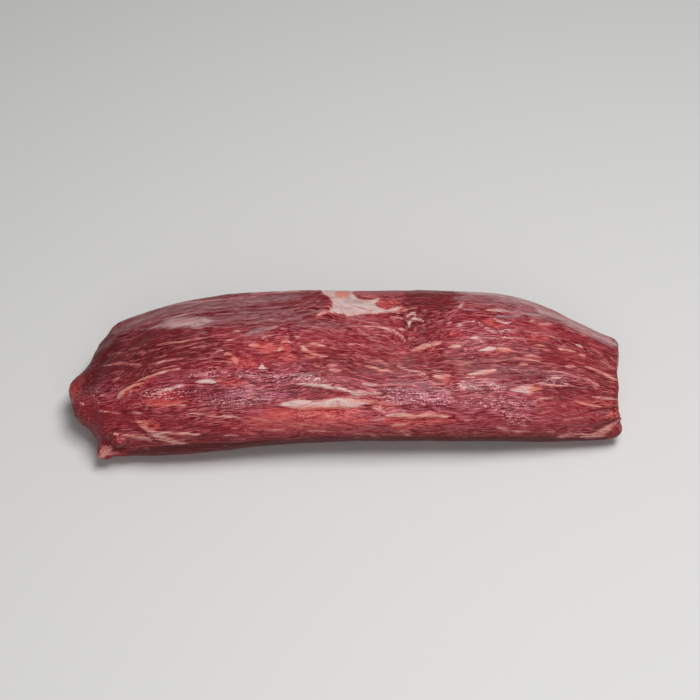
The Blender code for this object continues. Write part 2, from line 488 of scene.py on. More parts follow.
    def finished(self) -> bpy.types.Material:
        """Lays the layers over each other and ends the graph.

        Returns:
            The material.
        """
        meat, gaps = self.gaps(self.fibres())
        meat, threads = self.threads(meat)
        meat, walls = self.bundles(self.marbling(meat))
        meat, veil = self.membrane(meat)
        meat, fat = self.fat(meat)
        look = self.look
        sockets = {
            "Base Color": self.specks_and_glints(meat),
            "Roughness": look.roughness + (self.fine - 0.5) * 0.2 - self.wet * 0.1 + fat * 0.08,
            "Coat Weight": look.coat + self.wet * 0.3,
            "Normal": self.bumps(gaps, threads, walls, veil, fat),
            "Specular IOR Level": look.specular,
            "Subsurface Weight": look.translucency,
            "Subsurface Radius": look.scatter,
            "Subsurface Scale": MM,
            "Coat Roughness": look.coat_roughness,
            "IOR": look.refraction,
        }
        shader = self.node("ShaderNodeBsdfPrincipled", None, sockets)
        self.node("ShaderNodeOutputMaterial", None, {"Surface": shader})
        return self.material


@dataclass(frozen=True)
class Stroke:
    """A brush stroke: half its width in millimetres, and its points in the photograph's pixels."""

    tissue: Tissue
    width: float
    points: tuple[Point, ...]
    strength: float


@dataclass(frozen=True)
class Patch:
    """An area: its outline in the photograph's pixels, and how soft its edge is in millimetres."""

    tissue: Tissue
    outline: tuple[Point, ...]
    edge: float
    strength: float


def brush(tissue: Tissue, *rows: tuple) -> tuple[Stroke, ...]:
    """Brush strokes of one tissue.

    Args:
        tissue: What they paint.
        rows: For each, half its width in millimetres, its strength and its points in pixels.

    Returns:
        The strokes.
    """
    return tuple(Stroke(tissue, width, tuple(points), strength) for width, strength, *points in rows)


def fill(tissue: Tissue, *rows: tuple) -> tuple[Patch, ...]:
    """Areas of one tissue.

    Args:
        tissue: What they paint.
        rows: For each, how soft its edge is in millimetres, its strength and its outline in pixels.

    Returns:
        The areas.
    """
    return tuple(Patch(tissue, tuple(outline), edge, strength) for edge, strength, *outline in rows)


@dataclass(frozen=True)
class Fold:
    """A ridge, or a groove where rise is negative: millimetres, along the photograph's pixels."""

    name: str
    width: float
    rise: float
    points: tuple[Point, ...]


@dataclass(frozen=True)
class Pull:
    """A place that draws the grain down the surface: its middle in pixels, the rest in millimetres."""

    middle: Point
    reach: tuple[float, float]
    push: float


@dataclass(frozen=True)
class Bulge:
    """A place pushed out of the form: its middle in pixels, its reach and its push in millimetres."""

    name: str
    middle: Point
    reach: float
    push: tuple[float, float, float]


@dataclass(frozen=True)
class Band:
    """A tone on the hidden side: degrees round the muscle from its crown, millimetres along it."""

    tissue: Tissue
    turn: float
    spread: float
    start: float
    end: float
    strength: float


@dataclass(frozen=True)
class Picture:
    """The camera of the photograph, as a way from the muscle to its pixels. pixel is in millimetres."""

    size: int = 700
    elevation: float = 45.0
    distance: float = 0.731
    lens: float = 90.0
    sensor: float = 36.0
    aim: tuple[float, float, float] = (0.0021, 0.0070, 0.0226)
    pixel: float = 0.42

    def axes(self) -> tuple[np.ndarray, np.ndarray, np.ndarray]:
        """The directions to the right, up and ahead in the picture."""
        angle = math.radians(self.elevation)
        up = np.array([0.0, math.sin(angle), math.cos(angle)])
        ahead = np.array([0.0, math.cos(angle), -math.sin(angle)])
        return np.array([1.0, 0.0, 0.0]), up, ahead

    def place(self) -> np.ndarray:
        """Where the camera stands."""
        return np.array(self.aim) - self.axes()[2] * self.distance

    def pixels(self, points: np.ndarray) -> np.ndarray:
        """Where points are in the picture.

        Args:
            points: Points in metres, one a row.

        Returns:
            Their pixels across and down, one a row.
        """
        right, up, ahead = self.axes()
        offset = points - self.place()
        scale = self.lens / self.sensor * self.size / (offset @ ahead)
        middle = self.size / 2
        return np.stack([middle + offset @ right * scale, middle - offset @ up * scale], axis=1)

    def facing(self, points: np.ndarray, normals: np.ndarray) -> np.ndarray:
        """How squarely the surface faces the camera.

        Args:
            points: Points in metres, one a row.
            normals: The directions out of the surface there, one a row.

        Returns:
            1 for square on, 0 for edge on and less for a hidden side.
        """
        sight = self.place() - points
        sight /= np.linalg.norm(sight, axis=1)[:, None]
        return (sight * normals).sum(axis=1)

    def camera(self) -> bpy.types.Object:
        """Builds the camera and makes it the scene's."""
        data = bpy.data.cameras.new("camera")
        data.lens = self.lens
        data.sensor_width = self.sensor
        camera = bpy.data.objects.new("camera", data)
        camera.location = self.place()
        camera.rotation_euler = (math.radians(90.0 - self.elevation), 0.0, 0.0)
        bpy.context.scene.collection.objects.link(camera)
        bpy.context.scene.camera = camera
        return camera


def line_distance(
    places: np.ndarray, points: Sequence[Sequence[float]]
) -> tuple[np.ndarray, np.ndarray]:
    """How far places are from a line through points, and how far along it they are.

    Args:
        places: Places on a plane or in space, one a row.
        points: The line's points.

    Returns:
        The distances, and the shares of the line's length, from 0 to 1.
    """
    corners = np.array(points, float)
    runs = np.diff(corners, axis=0)
    lengths = np.linalg.norm(runs, axis=1)
    starts = np.concatenate([[0.0], np.cumsum(lengths)])
    best = np.full(len(places), np.inf)
    along = np.zeros(len(places))
    for corner, run, length, start in zip(corners, runs, lengths, starts):
        share = np.clip((places - corner) @ run / length**2, 0.0, 1.0)
        distance = np.linalg.norm(places - corner - share[:, None] * run, axis=1)
        nearer = distance < best
        best = np.where(nearer, distance, best)
        along = np.where(nearer, (start + share * length) / starts[-1], along)
    return best, along


def inside_distance(places: np.ndarray, outline: Sequence[Point]) -> np.ndarray:
    """How far places lie inside an outline; outside it the number is negative.

    Args:
        places: Places on a plane, one a row.
        outline: The outline's corners.

    Returns:
        The signed distances.
    """
    closed = tuple(outline) + (outline[0],)
    distance = line_distance(places, closed)[0]
    inside = np.zeros(len(places), bool)
    for (x0, y0), (x1, y1) in zip(closed, closed[1:]):
        if y0 == y1:
            continue
        crosses = (places[:, 1] < y0) != (places[:, 1] < y1)
        inside ^= crosses & (places[:, 0] < x0 + (places[:, 1] - y0) * (x1 - x0) / (y1 - y0))
    return np.where(inside, distance, -distance)


def bell(shares: np.ndarray) -> np.ndarray:
    """1 at 0, a half at 1 and less and less beyond."""
    return np.exp(-HALF_FALL * shares**2)


def stroke_cover(places: np.ndarray, points: Sequence[Sequence[float]], width: float) -> np.ndarray:
    """How much a tapering stroke covers each place.

    Args:
        places: Places on a plane or in space, one a row.
        points: The stroke's points.
        width: Half its width in the middle.

    Returns:
        1 on its line, 0.5 at its edge and 0 well away from it.
    """
    distance, along = line_distance(places, points)
    length = np.linalg.norm(np.diff(np.array(points, float), axis=0), axis=1).sum()
    bluntness = min(1.0, max(FINEST_TIP, TIP_LENGTHS * width / length))
    taper = bluntness + (1.0 - bluntness) * np.sin(np.pi * np.clip(along, 0.0, 1.0)) ** 0.5
    return bell(distance / (width * taper))


@dataclass
class Muscle:
    """The whole muscle: its form from the frame, its relief and its paint, in millimetres and degrees."""

    spokes: int = 42
    fineness: int = 3
    tip_rings: tuple[tuple[float, float], ...] = (
        (0.2, 0.20), (1.6, 0.9), (4.4, 1.0), (8.0, 1.0), (11.4, 1.0), (15.0, 1.0), (20.0, 1.0)
    )
    cut_rings: tuple[tuple[float, float], ...] = (
        (10.0, 1.0), (4.5, 1.0), (2.4, 0.95), (1.2, 0.80), (1.2, 0.50), (1.2, 0.25)
    )
    body_rings: int = 23
    section_reach: float = 2.4
    evening: int = 12
    cut_evening: float = 0.15
    cut_reach: tuple[float, float] = (1.0, 10.0)
    crowding: float = 0.5
    crowd_at: float = -40.0
    half_width: float = 37.0
    crown: float = 42.0
    slices: int = 24
    slice_reach: float = 6.0
    slim_ends: tuple[float, float] = (14.0, 4.0)
    relief: tuple[tuple[float, float, float], ...] = (
        (34.0, 4.2, 0.20), (18.0, 2.1, 0.20), (9.0, 1.3, 0.14)
    )
    end_relief: float = 0.2
    end_reach: float = 7.0
    waves: tuple[tuple[float, float], ...] = ((24.0, 2.4), (7.0, 0.7))
    wander_seed: int = 2
    ragged_size: float = 6.0
    ragged_reach: float = 0.3
    ragged_ends: float = 50.0
    ragged_from: tuple[float, float] = (-0.3, 0.15)
    painted_from: tuple[float, float] = (-0.28, -0.12)
    hidden_to: tuple[float, float] = (-0.04, 0.06)
    band_fade: float = 20.0
    cut_depth: tuple[float, float] = (-5.0, -3.0)
    cut_facing: tuple[float, float] = (0.6, 0.9)
    hidden_seed: int = 7
    hidden_flecks: int = 160
    hidden_turns: tuple[float, float] = (45.0, 225.0)
    turn_width: float = 0.6
    seam_every: int = 12
    seam_halves: tuple[float, float] = (22.0, 40.0)
    seam_widths: tuple[float, float] = (0.8, 1.4)
    fleck_halves: tuple[float, float] = (2.0, 9.0)
    fleck_widths: tuple[float, float] = (0.5, 1.0)
    fleck_bend: float = 0.5
    fleck_strengths: tuple[float, float] = (0.6, 1.0)
    warm_every: int = 3
    warm_strength: float = 0.7
    warm_spread: float = 3.0
    picture: Picture = field(default_factory=Picture)
    finish: RawBeef = field(default_factory=RawBeef)

    def build(self, cad: bpy.types.Object) -> bpy.types.Object:
        """Builds the piece that stands for the solid.

        Args:
            cad: The solid's object.

        Returns:
            The finished piece.
        """
        solid = self._merged(cad)
        piece = self._tube(solid)
        self._wrap(piece, solid)
        bpy.data.objects.remove(solid)
        facing = self.picture.facing(*mesh_arrays(piece.data))
        grain = self._sculpt(piece)
        self._paint(piece, grain, facing)
        piece.data.materials.append(self.finish.build())
        return piece

    def _merged(self, cad: bpy.types.Object) -> bpy.types.Object:
        """A copy of the solid with its loose triangles joined.

        Args:
            cad: The solid's object.

        Returns:
            The copy, alone in the selection and active.
        """
        solid = cad.copy()
        solid.data = cad.data.copy()
        solid.parent = None
        bpy.context.scene.collection.objects.link(solid)
        activate(solid)
        bpy.ops.object.mode_set(mode="EDIT")
        bpy.ops.mesh.select_all(action="SELECT")
        bpy.ops.mesh.remove_doubles(threshold=0.01 * MM)
        bpy.ops.object.mode_set(mode="OBJECT")
        return solid

    def _stations(self, low: float, high: float) -> list[tuple[float, float]]:
        """Where the tube's rings are.

        Args:
            low: Where the muscle starts.
            high: Where it ends.

        Returns:
            For each ring its place along the muscle and its share of the section there.
        """
        start, end = low + self.tip_rings[-1][0] * MM, high - self.cut_rings[0][0] * MM
        rings = [(low + depth * MM, size) for depth, size in self.tip_rings]
        rings += [(start + (end - start) * i / self.body_rings, 1.0) for i in range(1, self.body_rings)]
        return rings + [(high - depth * MM, size) for depth, size in self.cut_rings]

    def _tube(self, solid: bpy.types.Object) -> bpy.types.Object:
        """A closed tube of rings round the solid, extruded from one end to the other.

        Args:
            solid: The solid with its triangles joined.

        Returns:
            The tube, coarse.
        """
        corners = np.array([v.co for v in solid.data.vertices])
        rings = self._stations(corners[:, 0].min(), corners[:, 0].max())
        boxes = [self._section(corners, x) for x, _ in rings]
        activate(None)
        quarter = math.pi / 2
        upright = (quarter, 0.0, quarter)
        bpy.ops.mesh.primitive_circle_add(vertices=self.spokes, radius=1.0, rotation=upright)
        piece = bpy.context.object
        piece.name = piece.data.name = "muscle"
        bpy.ops.object.transform_apply(rotation=True)
        for vertex in piece.data.vertices:
            turn = math.atan2(vertex.co.y, vertex.co.z)
            turn -= self.crowding * math.sin(turn - math.radians(self.crowd_at))
            vertex.co.y, vertex.co.z = math.sin(turn), math.cos(turn)
        bpy.ops.object.mode_set(mode="EDIT")
        bpy.ops.mesh.select_all(action="SELECT")
        before = np.zeros(3), np.ones(3)
        for number, ((x, size), (middle, half)) in enumerate(zip(rings, boxes)):
            centre, spread = np.array([x, *middle]), np.array([1.0, *(half * size)])
            if number:
                bpy.ops.mesh.extrude_region_move()
            bpy.ops.transform.translate(value=tuple(centre - before[0]))
            bpy.ops.transform.resize(value=tuple(spread / before[1]), center_override=tuple(centre))
            before = centre, spread
        bpy.ops.mesh.edge_face_add()
        bpy.ops.mesh.poke()
        bpy.ops.mesh.select_all(action="DESELECT")
        bpy.ops.object.mode_set(mode="OBJECT")
        self._close_start(piece, rings[0][0])
        self._unwrap(piece)
        return piece

    def _section(self, corners: np.ndarray, x: float) -> tuple[np.ndarray, np.ndarray]:
        """The solid's section near a place along it.

        Args:
            corners: The solid's corners.
            x: The place.

        Returns:
            The section's middle and its half size, in Y and Z.
        """
        near = corners[np.abs(corners[:, 0] - x) < self.section_reach * MM][:, 1:]
        low, high = near.min(axis=0), near.max(axis=0)
        return (low + high) / 2, (high - low) / 2

    @staticmethod
    def _close_start(piece: bpy.types.Object, x: float) -> None:
        """Closes the tube's first ring.

        Args:
            piece: The tube.
            x: Where its first ring is.
        """
        for vertex in piece.data.vertices:
            vertex.select = abs(vertex.co.x - x) < 0.01 * MM
        bpy.ops.object.mode_set(mode="EDIT")
        bpy.ops.mesh.select_mode(type="VERT")
        bpy.ops.mesh.edge_face_add()
        bpy.ops.mesh.poke()
        bpy.ops.mesh.select_all(action="SELECT")
        bpy.ops.mesh.normals_make_consistent(inside=False)
        bpy.ops.object.mode_set(mode="OBJECT")

    def _unwrap(self, piece: bpy.types.Object) -> None:
        """Lays the tube's rings and spokes flat on the UV map that the finish is baked on.

        Args:
            piece: The tube.
        """
        mesh = piece.data
        ring, spoke = self._indices(mesh)
        last = ring.max()
        layer = mesh.uv_layers.new(name="OFBake")
        for face in mesh.polygons:
            around = spoke[list(face.vertices)]
            tip = np.isnan(around)
            if np.nanmax(around) - np.nanmin(around) > self.spokes / 2:
                around = np.where(around < self.spokes / 2, around + self.spokes, around)
            around[tip] = np.nanmean(around)
            for loop, vertex, turn in zip(face.loop_indices, face.vertices, around):
                flat = ring[vertex] / last, turn / self.spokes
                layer.data[loop].uv = [UV_MARGIN + (1.0 - 2.0 * UV_MARGIN) * share for share in flat]

    def _indices(self, mesh: bpy.types.Mesh) -> tuple[np.ndarray, np.ndarray]:
        """The ring and the spoke of each of the tube's points.

        Args:
            mesh: The coarse tube.

        Returns:
            The rings, from 0 at the left pole, and the spokes from the middle of the underside, with
            no number at the poles.
        """
        count = len(mesh.vertices)
        neighbours = [set() for _ in range(count)]
        for edge in mesh.edges:
            first, second = edge.vertices
            neighbours[first].add(second)
            neighbours[second].add(first)
        poles = [i for i in range(count) if len(neighbours[i]) == self.spokes]
        poles.sort(key=lambda i: mesh.vertices[i].co.x)
        ring = np.full(count, -1)
        ring[poles[0]] = 0
        layer = [poles[0]]
        while layer:
            layer = sorted({n for i in layer for n in neighbours[i] if ring[n] < 0})
            if layer:
                ring[layer] = ring.max() + 1
        co = np.array([v.co for v in mesh.vertices])
        spoke = np.full(count, np.nan)
        for number in range(1, ring.max()):
            members = np.flatnonzero(ring == number)
            middle = co[members].mean(axis=0)
            angle = np.arctan2(co[members, 1] - middle[1], -(co[members, 2] - middle[2]))
            order = members[np.argsort(angle % (2 * np.pi))]
            spoke[order] = np.arange(len(order))
        return ring, spoke

    def _wrap(self, piece: bpy.types.Object, solid: bpy.types.Object) -> None:
        """Fits the tube to the solid, finer each time, and evens out its facets.

        Args:
            piece: The tube.
            solid: The solid with its triangles joined.
        """
        activate(piece)
        group = piece.vertex_groups.new(name=SOFT_GROUP)
        end = max(vertex.co.x for vertex in piece.data.vertices)
        for vertex in piece.data.vertices:
            share = smooth_step(*self.cut_reach, np.array([(end - vertex.co.x) / MM]))[0]
            weight = float(self.cut_evening + (1.0 - self.cut_evening) * share)
            group.add([vertex.index], weight, "REPLACE")
        for _ in range(self.fineness):
            finer = piece.modifiers.new("finer", "SUBSURF")
            finer.levels = finer.render_levels = 1
            finer.uv_smooth = "NONE"
            bpy.ops.object.modifier_apply(modifier=finer.name)
            wrap = piece.modifiers.new("wrap", "SHRINKWRAP")
            wrap.target = solid
            wrap.wrap_method = "NEAREST_SURFACEPOINT"
            bpy.ops.object.modifier_apply(modifier=wrap.name)
            even = piece.modifiers.new("even", "SMOOTH")
            even.factor = 0.5
            even.vertex_group = SOFT_GROUP
            even.iterations = self.evening
            bpy.ops.object.modifier_apply(modifier=even.name)
        bpy.ops.object.shade_smooth()

    def _sculpt(self, piece: bpy.types.Object) -> np.ndarray:
        """Moves the skin out and in along its normals, for the grain and for each fold.

        Args:
            piece: The wrapped tube.

        Returns:
            Where each point is along and across the grain, in millimetres.
        """
        mesh = piece.data
        co, normals = mesh_arrays(mesh)
        pixels = self.picture.pixels(co)
        seen = smooth_step(0.0, 0.3, self.picture.facing(co, normals))
        grain = self._grain(co) + self._pulled(pixels, seen, normals)
        store(mesh, "grain", grain, "FLOAT_VECTOR", "vector")
        height = np.zeros(len(co))
        for number, (length, width, rise) in enumerate(self.relief):
            scale = Vector((1.0 / length, 1.0 / width, 1.0 / width))
            shift = Vector((0.0, 0.0, 17.0 * number))
            height += rise * np.array([noise.noise(Vector(place) * scale + shift) for place in grain])
        from_end = smooth_step(0.0, self.end_reach, (co[:, 0].max() - co[:, 0]) / MM)
        height *= self.end_relief + (1.0 - self.end_relief) * from_end
        for fold in FOLDS:
            width = fold.width / self.picture.pixel
            height += fold.rise * seen * stroke_cover(pixels, fold.points, width)
        moves = normals * height[:, None]
        for bulge in BULGES:
            away = np.linalg.norm(pixels - bulge.middle, axis=1)
            nearest = np.argmin(away + BEHIND * (seen < 0.5))
            distance = np.linalg.norm(co - co[nearest], axis=1) / MM
            moves += bell(distance / bulge.reach)[:, None] * bulge.push
        co += moves * MM
        co[:, 2] = np.maximum(co[:, 2], 0.0)
        mesh.vertices.foreach_set("co", co.astype(np.float32).ravel())
        mesh.update()
        return grain

    def _grain(self, co: np.ndarray) -> np.ndarray:
        """Where each point is along and across the grain, in millimetres.

        Args:
            co: The points, in metres.

        Returns:
            The places, drawn together where the muscle is slim and wandering a little.
        """
        x, y, z = (co / MM).T
        start, end = self.slim_ends
        stations = np.linspace(x.min() + start, x.max() - end, self.slices)
        slices = [np.abs(x - station) < self.slice_reach for station in stations]
        low = np.array([y[near].min() for near in slices])
        high = np.array([y[near].max() for near in slices])
        top = np.array([z[near].max() for near in slices])
        middle = np.interp(x, stations, (low + high) / 2)
        half = np.interp(x, stations, (high - low) / 2)
        crown = np.interp(x, stations, top)
        straight = np.stack([x, (y - middle) / half * self.half_width, z / crown * self.crown], axis=1)
        noise.seed_set(self.wander_seed)
        wander = np.array([self._wander(Vector(place)) for place in straight])
        wander[:, 0] = 0.0
        return straight + wander

    def _wander(self, place: Vector) -> Vector:
        """How far the grain strays at a place: long waves and short ones."""
        return sum((noise.noise_vector(place / length) * reach for length, reach in self.waves), Vector())

    def _pulled(self, pixels: np.ndarray, seen: np.ndarray, normals: np.ndarray) -> np.ndarray:
        """How far each place that pulls the grain moves it.

        Args:
            pixels: Where the points are in the picture.
            seen: How much each point shows.
            normals: The directions out of the surface.

        Returns:
            The moves up the surface, in millimetres, one a row.
        """
        uphill = np.stack([np.zeros(len(normals)), normals[:, 2], -normals[:, 1]], axis=1)
        total = np.zeros(len(pixels))
        for pull in PULLS:
            offset = (pixels - pull.middle) * self.picture.pixel / pull.reach
            total += pull.push * np.exp(-(offset**2).sum(axis=1)) * seen
        return uphill * total[:, None]

    def _paint(self, piece: bpy.types.Object, grain: np.ndarray, facing: np.ndarray) -> None:
        """Paints fat, skin, wet places and tones on the mesh, and among them painted shade, sheen and a
        highlight.

        Args:
            piece: The sculpted piece.
            grain: Where its points are along and across the grain.
            facing: How squarely its points faced the camera before it was sculpted.
        """
        mesh = piece.data
        co, normals = mesh_arrays(mesh)
        pixels = self.picture.pixels(co)
        ragged = np.array([noise.noise(Vector(place) / self.ragged_size) for place in grain])
        seen = smooth_step(*self.painted_from, facing + ragged * self.ragged_reach)
        pixels[:, 0] += ragged * self.ragged_ends * (1.0 - smooth_step(*self.ragged_from, facing))
        hidden = 1.0 - smooth_step(*self.hidden_to, facing)
        covers = {tissue: np.zeros(len(co)) for tissue in Tissue}
        for stroke in STROKES:
            width = stroke.width / self.picture.pixel
            cover = stroke.strength * stroke_cover(pixels, stroke.points, width) * seen
            covers[stroke.tissue] = np.maximum(covers[stroke.tissue], cover)
        for patch in PATCHES:
            edge = patch.edge / self.picture.pixel
            inside = smooth_step(-edge, edge, inside_distance(pixels, patch.outline))
            cover = patch.strength * inside * seen
            covers[patch.tissue] = np.maximum(covers[patch.tissue], cover)
        turn = self._turns(grain)
        for band in BANDS:
            across = np.exp(-(((turn - band.turn + 180.0) % 360.0 - 180.0) / band.spread) ** 2)
            fade = min(self.band_fade, (band.end - band.start) / 4)
            along = smooth_step(band.start - fade, band.start + fade, grain[:, 0])
            along = along * (1.0 - smooth_step(band.end - fade, band.end + fade, grain[:, 0]))
            cover = band.strength * across * along * hidden
            covers[band.tissue] = np.maximum(covers[band.tissue], cover)
        near_end = smooth_step(*self.cut_depth, (co[:, 0] - co[:, 0].max()) / MM)
        covers[Tissue.CUT] = smooth_step(*self.cut_facing, normals[:, 0]) * near_end
        self._fleck_hidden_side(covers, grain, facing)
        for tissue, cover in covers.items():
            store(mesh, tissue.value, cover, "FLOAT", "value")

    def _turns(self, grain: np.ndarray) -> np.ndarray:
        """How far round the muscle each place is, in degrees from the top towards the back."""
        return np.degrees(np.arctan2(grain[:, 1] / self.half_width, grain[:, 2] / self.crown * 2.0 - 1.0))

    def _fleck_hidden_side(
        self, covers: dict[Tissue, np.ndarray], grain: np.ndarray, facing: np.ndarray
    ) -> None:
        """Adds streaks of fat, and their warm edges, to the back and the underside.

        Args:
            covers: How much of each tissue covers each point.
            grain: Where the points are along and across the grain.
            facing: How squarely the points face the camera.
        """
        hidden = np.flatnonzero(facing < 0.05)
        places = grain[hidden]
        turns = self._turns(places)
        dice = np.random.default_rng(self.hidden_seed)
        for number in range(self.hidden_flecks):
            along = places[:, 0] - dice.uniform(places[:, 0].min(), places[:, 0].max())
            around = (turns - dice.uniform(*self.hidden_turns) + 180.0) % 360.0 - 180.0
            middle = places[np.argmin(np.hypot(along, around * self.turn_width))]
            seam = number % self.seam_every == 0
            half = dice.uniform(*(self.seam_halves if seam else self.fleck_halves))
            width = dice.uniform(*(self.seam_widths if seam else self.fleck_widths))
            bend = dice.normal(0.0, self.fleck_bend, (3, 3)) * (0.0, 1.0, 1.0)
            line = middle + np.array([[-half, 0.0, 0.0], [0.0, 0.0, 0.0], [half, 0.0, 0.0]]) + bend
            cover = dice.uniform(*self.fleck_strengths) * stroke_cover(places, line, width)
            covers[Tissue.FAT][hidden] = np.maximum(covers[Tissue.FAT][hidden], cover)
            if number % self.warm_every == 0:
                cover = self.warm_strength * stroke_cover(places, line, width * self.warm_spread)
                covers[Tissue.WARM][hidden] = np.maximum(covers[Tissue.WARM][hidden], cover)


def activate(piece: bpy.types.Object | None) -> None:
    """Deselects everything, and selects one object and makes it active.

    Args:
        piece: The object, or None to leave nothing selected.
    """
    bpy.ops.object.select_all(action="DESELECT")
    bpy.context.view_layer.objects.active = piece
    if piece:
        piece.select_set(True)


def mesh_arrays(mesh: bpy.types.Mesh) -> tuple[np.ndarray, np.ndarray]:
    """The points of a mesh and the directions out of it there.

    Args:
        mesh: The mesh.

    Returns:
        The points and the normals, one a row.
    """
    co = np.zeros(len(mesh.vertices) * 3, np.float32)
    normals = np.zeros_like(co)
    mesh.vertices.foreach_get("co", co)
    mesh.vertices.foreach_get("normal", normals)
    return co.reshape(-1, 3).astype(float), normals.reshape(-1, 3).astype(float)


def store(mesh: bpy.types.Mesh, name: str, values: np.ndarray, kind: str, key: str) -> None:
    """Stores values on a mesh's points as an attribute.

    Args:
        mesh: The mesh.
        name: The attribute's name.
        values: A value, or a row of them, for each point.
        kind: The attribute's type.
        key: The name of the value in it.
    """
    attribute = mesh.attributes.new(name, kind, "POINT")
    attribute.data.foreach_set(key, values.astype(np.float32).ravel())


FAT, WHITE, SILVER, WARM = Tissue.FAT, Tissue.WHITE, Tissue.SILVER, Tissue.WARM
COOL, DARK, PALE, WET = Tissue.COOL, Tissue.DARK, Tissue.PALE, Tissue.WET
MARBLE, FILM = Tissue.MARBLE, Tissue.FILM

CROWN_FAT = ((319, 286), (321, 291), (324, 294.5), (327, 296.2), (330, 298), (331.7, 301.8),
    (331.7, 305.7), (329.5, 309.6), (328.7, 313), (336.7, 314), (344, 314.2), (346, 316.5),
    (347.5, 319.5), (350, 316.5), (362, 314.8), (369, 314), (377, 313.6), (386, 313), (398, 311.8),
    (400.5, 310), (402.5, 307), (396.7, 306.5), (392, 308), (386.7, 309.3), (381, 308), (377.5, 306),
    (375.4, 303.4), (378, 301), (380.6, 298.6), (377.8, 297.4), (371, 299.8), (363.3, 299.2),
    (357.8, 297.6), (354.4, 295.1), (352.5, 292.5), (355.6, 290.7), (361, 289.6), (361, 286))
SEAM_WEDGE = ((270, 405.4), (281, 403.2), (291, 400.4), (300, 398.8), (312, 399.6), (325, 398.4),
    (338, 397), (350, 397.2), (362, 399.5), (368, 403.5), (358, 407.6), (342, 409), (322, 408.4),
    (309, 409.6), (300, 410.2), (291, 408.4), (280, 406.6))
UPPER_SEAM = ((290, 383.4), (300, 383.8), (309, 384.1), (320, 385.6), (327, 386.7), (337, 388.3),
    (345.6, 390.6), (353, 392.6), (366, 393), (380, 394))
SEAM_FAN = ((344, 390), (352, 391), (366, 391.6), (378, 393.4), (366, 396), (354, 399), (345, 398.5),
    (351, 394.5))
LOW_SEAM = ((385.5, 416), (392, 414.6), (398, 414.2), (404, 414.8), (412, 416.5), (419, 416.5),
    (426, 414.8), (437, 415.2), (447.5, 417.5))
FORK = ((397, 365.8), (404.4, 368.4), (409, 370.7), (418, 371.5), (424, 374), (430, 378))
SKIN_PATCH = ((141, 330), (158, 324), (166, 318), (186, 316), (205, 316), (220, 320), (206, 325),
    (200, 330), (186, 328), (172, 329), (158, 328))
TAG = ((101.2, 445.3), (112, 445.3), (112.8, 450.3), (119.5, 451.6), (120.3, 453.3), (112, 455.4),
    (105.5, 456.4), (103.5, 460), (96, 460))
END_STRIPE = ((578, 435.5), (592, 433.4), (599, 430), (604.5, 426.2), (610, 423.3), (616.5, 420.4),
    (621, 418.2), (622, 421), (617, 424.2), (612, 429.6), (606.5, 434), (604, 437.4), (592, 438.4),
    (580, 437.6))
LOW_WEDGE = ((134, 419.2), (141.5, 420.2), (151.5, 421), (147, 423.4), (150, 427.5), (154, 429.8),
    (163, 432), (166, 435), (171, 436.8), (177, 440.2), (189, 443.2), (173, 444.6), (161.5, 442),
    (154.5, 439), (151, 435.4), (144, 430.2), (139, 426.6), (136, 423))
RIGHT_PAD = ((506, 389.6), (514, 387), (520, 385.2), (529, 383.4), (535, 384.2), (533, 387.6),
    (542, 388.8), (535, 391.6), (529, 394.4), (521, 393.2), (512, 391.6))
LONG_PAD = ((466.5, 374.2), (473.3, 371.8), (482.2, 369.8), (496, 368.6), (498, 370.5), (490, 373.4),
    (484.4, 375.2), (471, 375.4))
SHORT_PAD = ((475.6, 352), (483.3, 348.4), (489, 346.4), (496, 346.8), (498, 349), (492, 350.6),
    (484, 351.2))
FORWARD_PAD = ((409.5, 351.2), (413, 348.4), (417, 346), (422, 343.8), (430, 343), (435, 341.2),
    (442, 340.8), (443.4, 342.8), (438, 345.4), (431, 347), (425, 349.2), (416, 351))
SKIN_LENS = ((482.8, 310.6), (487.8, 308.9), (495.6, 308), (504.4, 308.3), (511.1, 310.6), (512.2, 312.6),
    (502, 312.2), (490, 311.7))
PALE_LENS = ((193.3, 382.8), (200, 378.9), (206.7, 378), (214.4, 380), (216.7, 382.8), (214.4, 383.9),
    (204.4, 383.3), (197.8, 383.6))
WHITE_SPOT = ((258, 369), (261, 364), (263.5, 364), (266, 369))

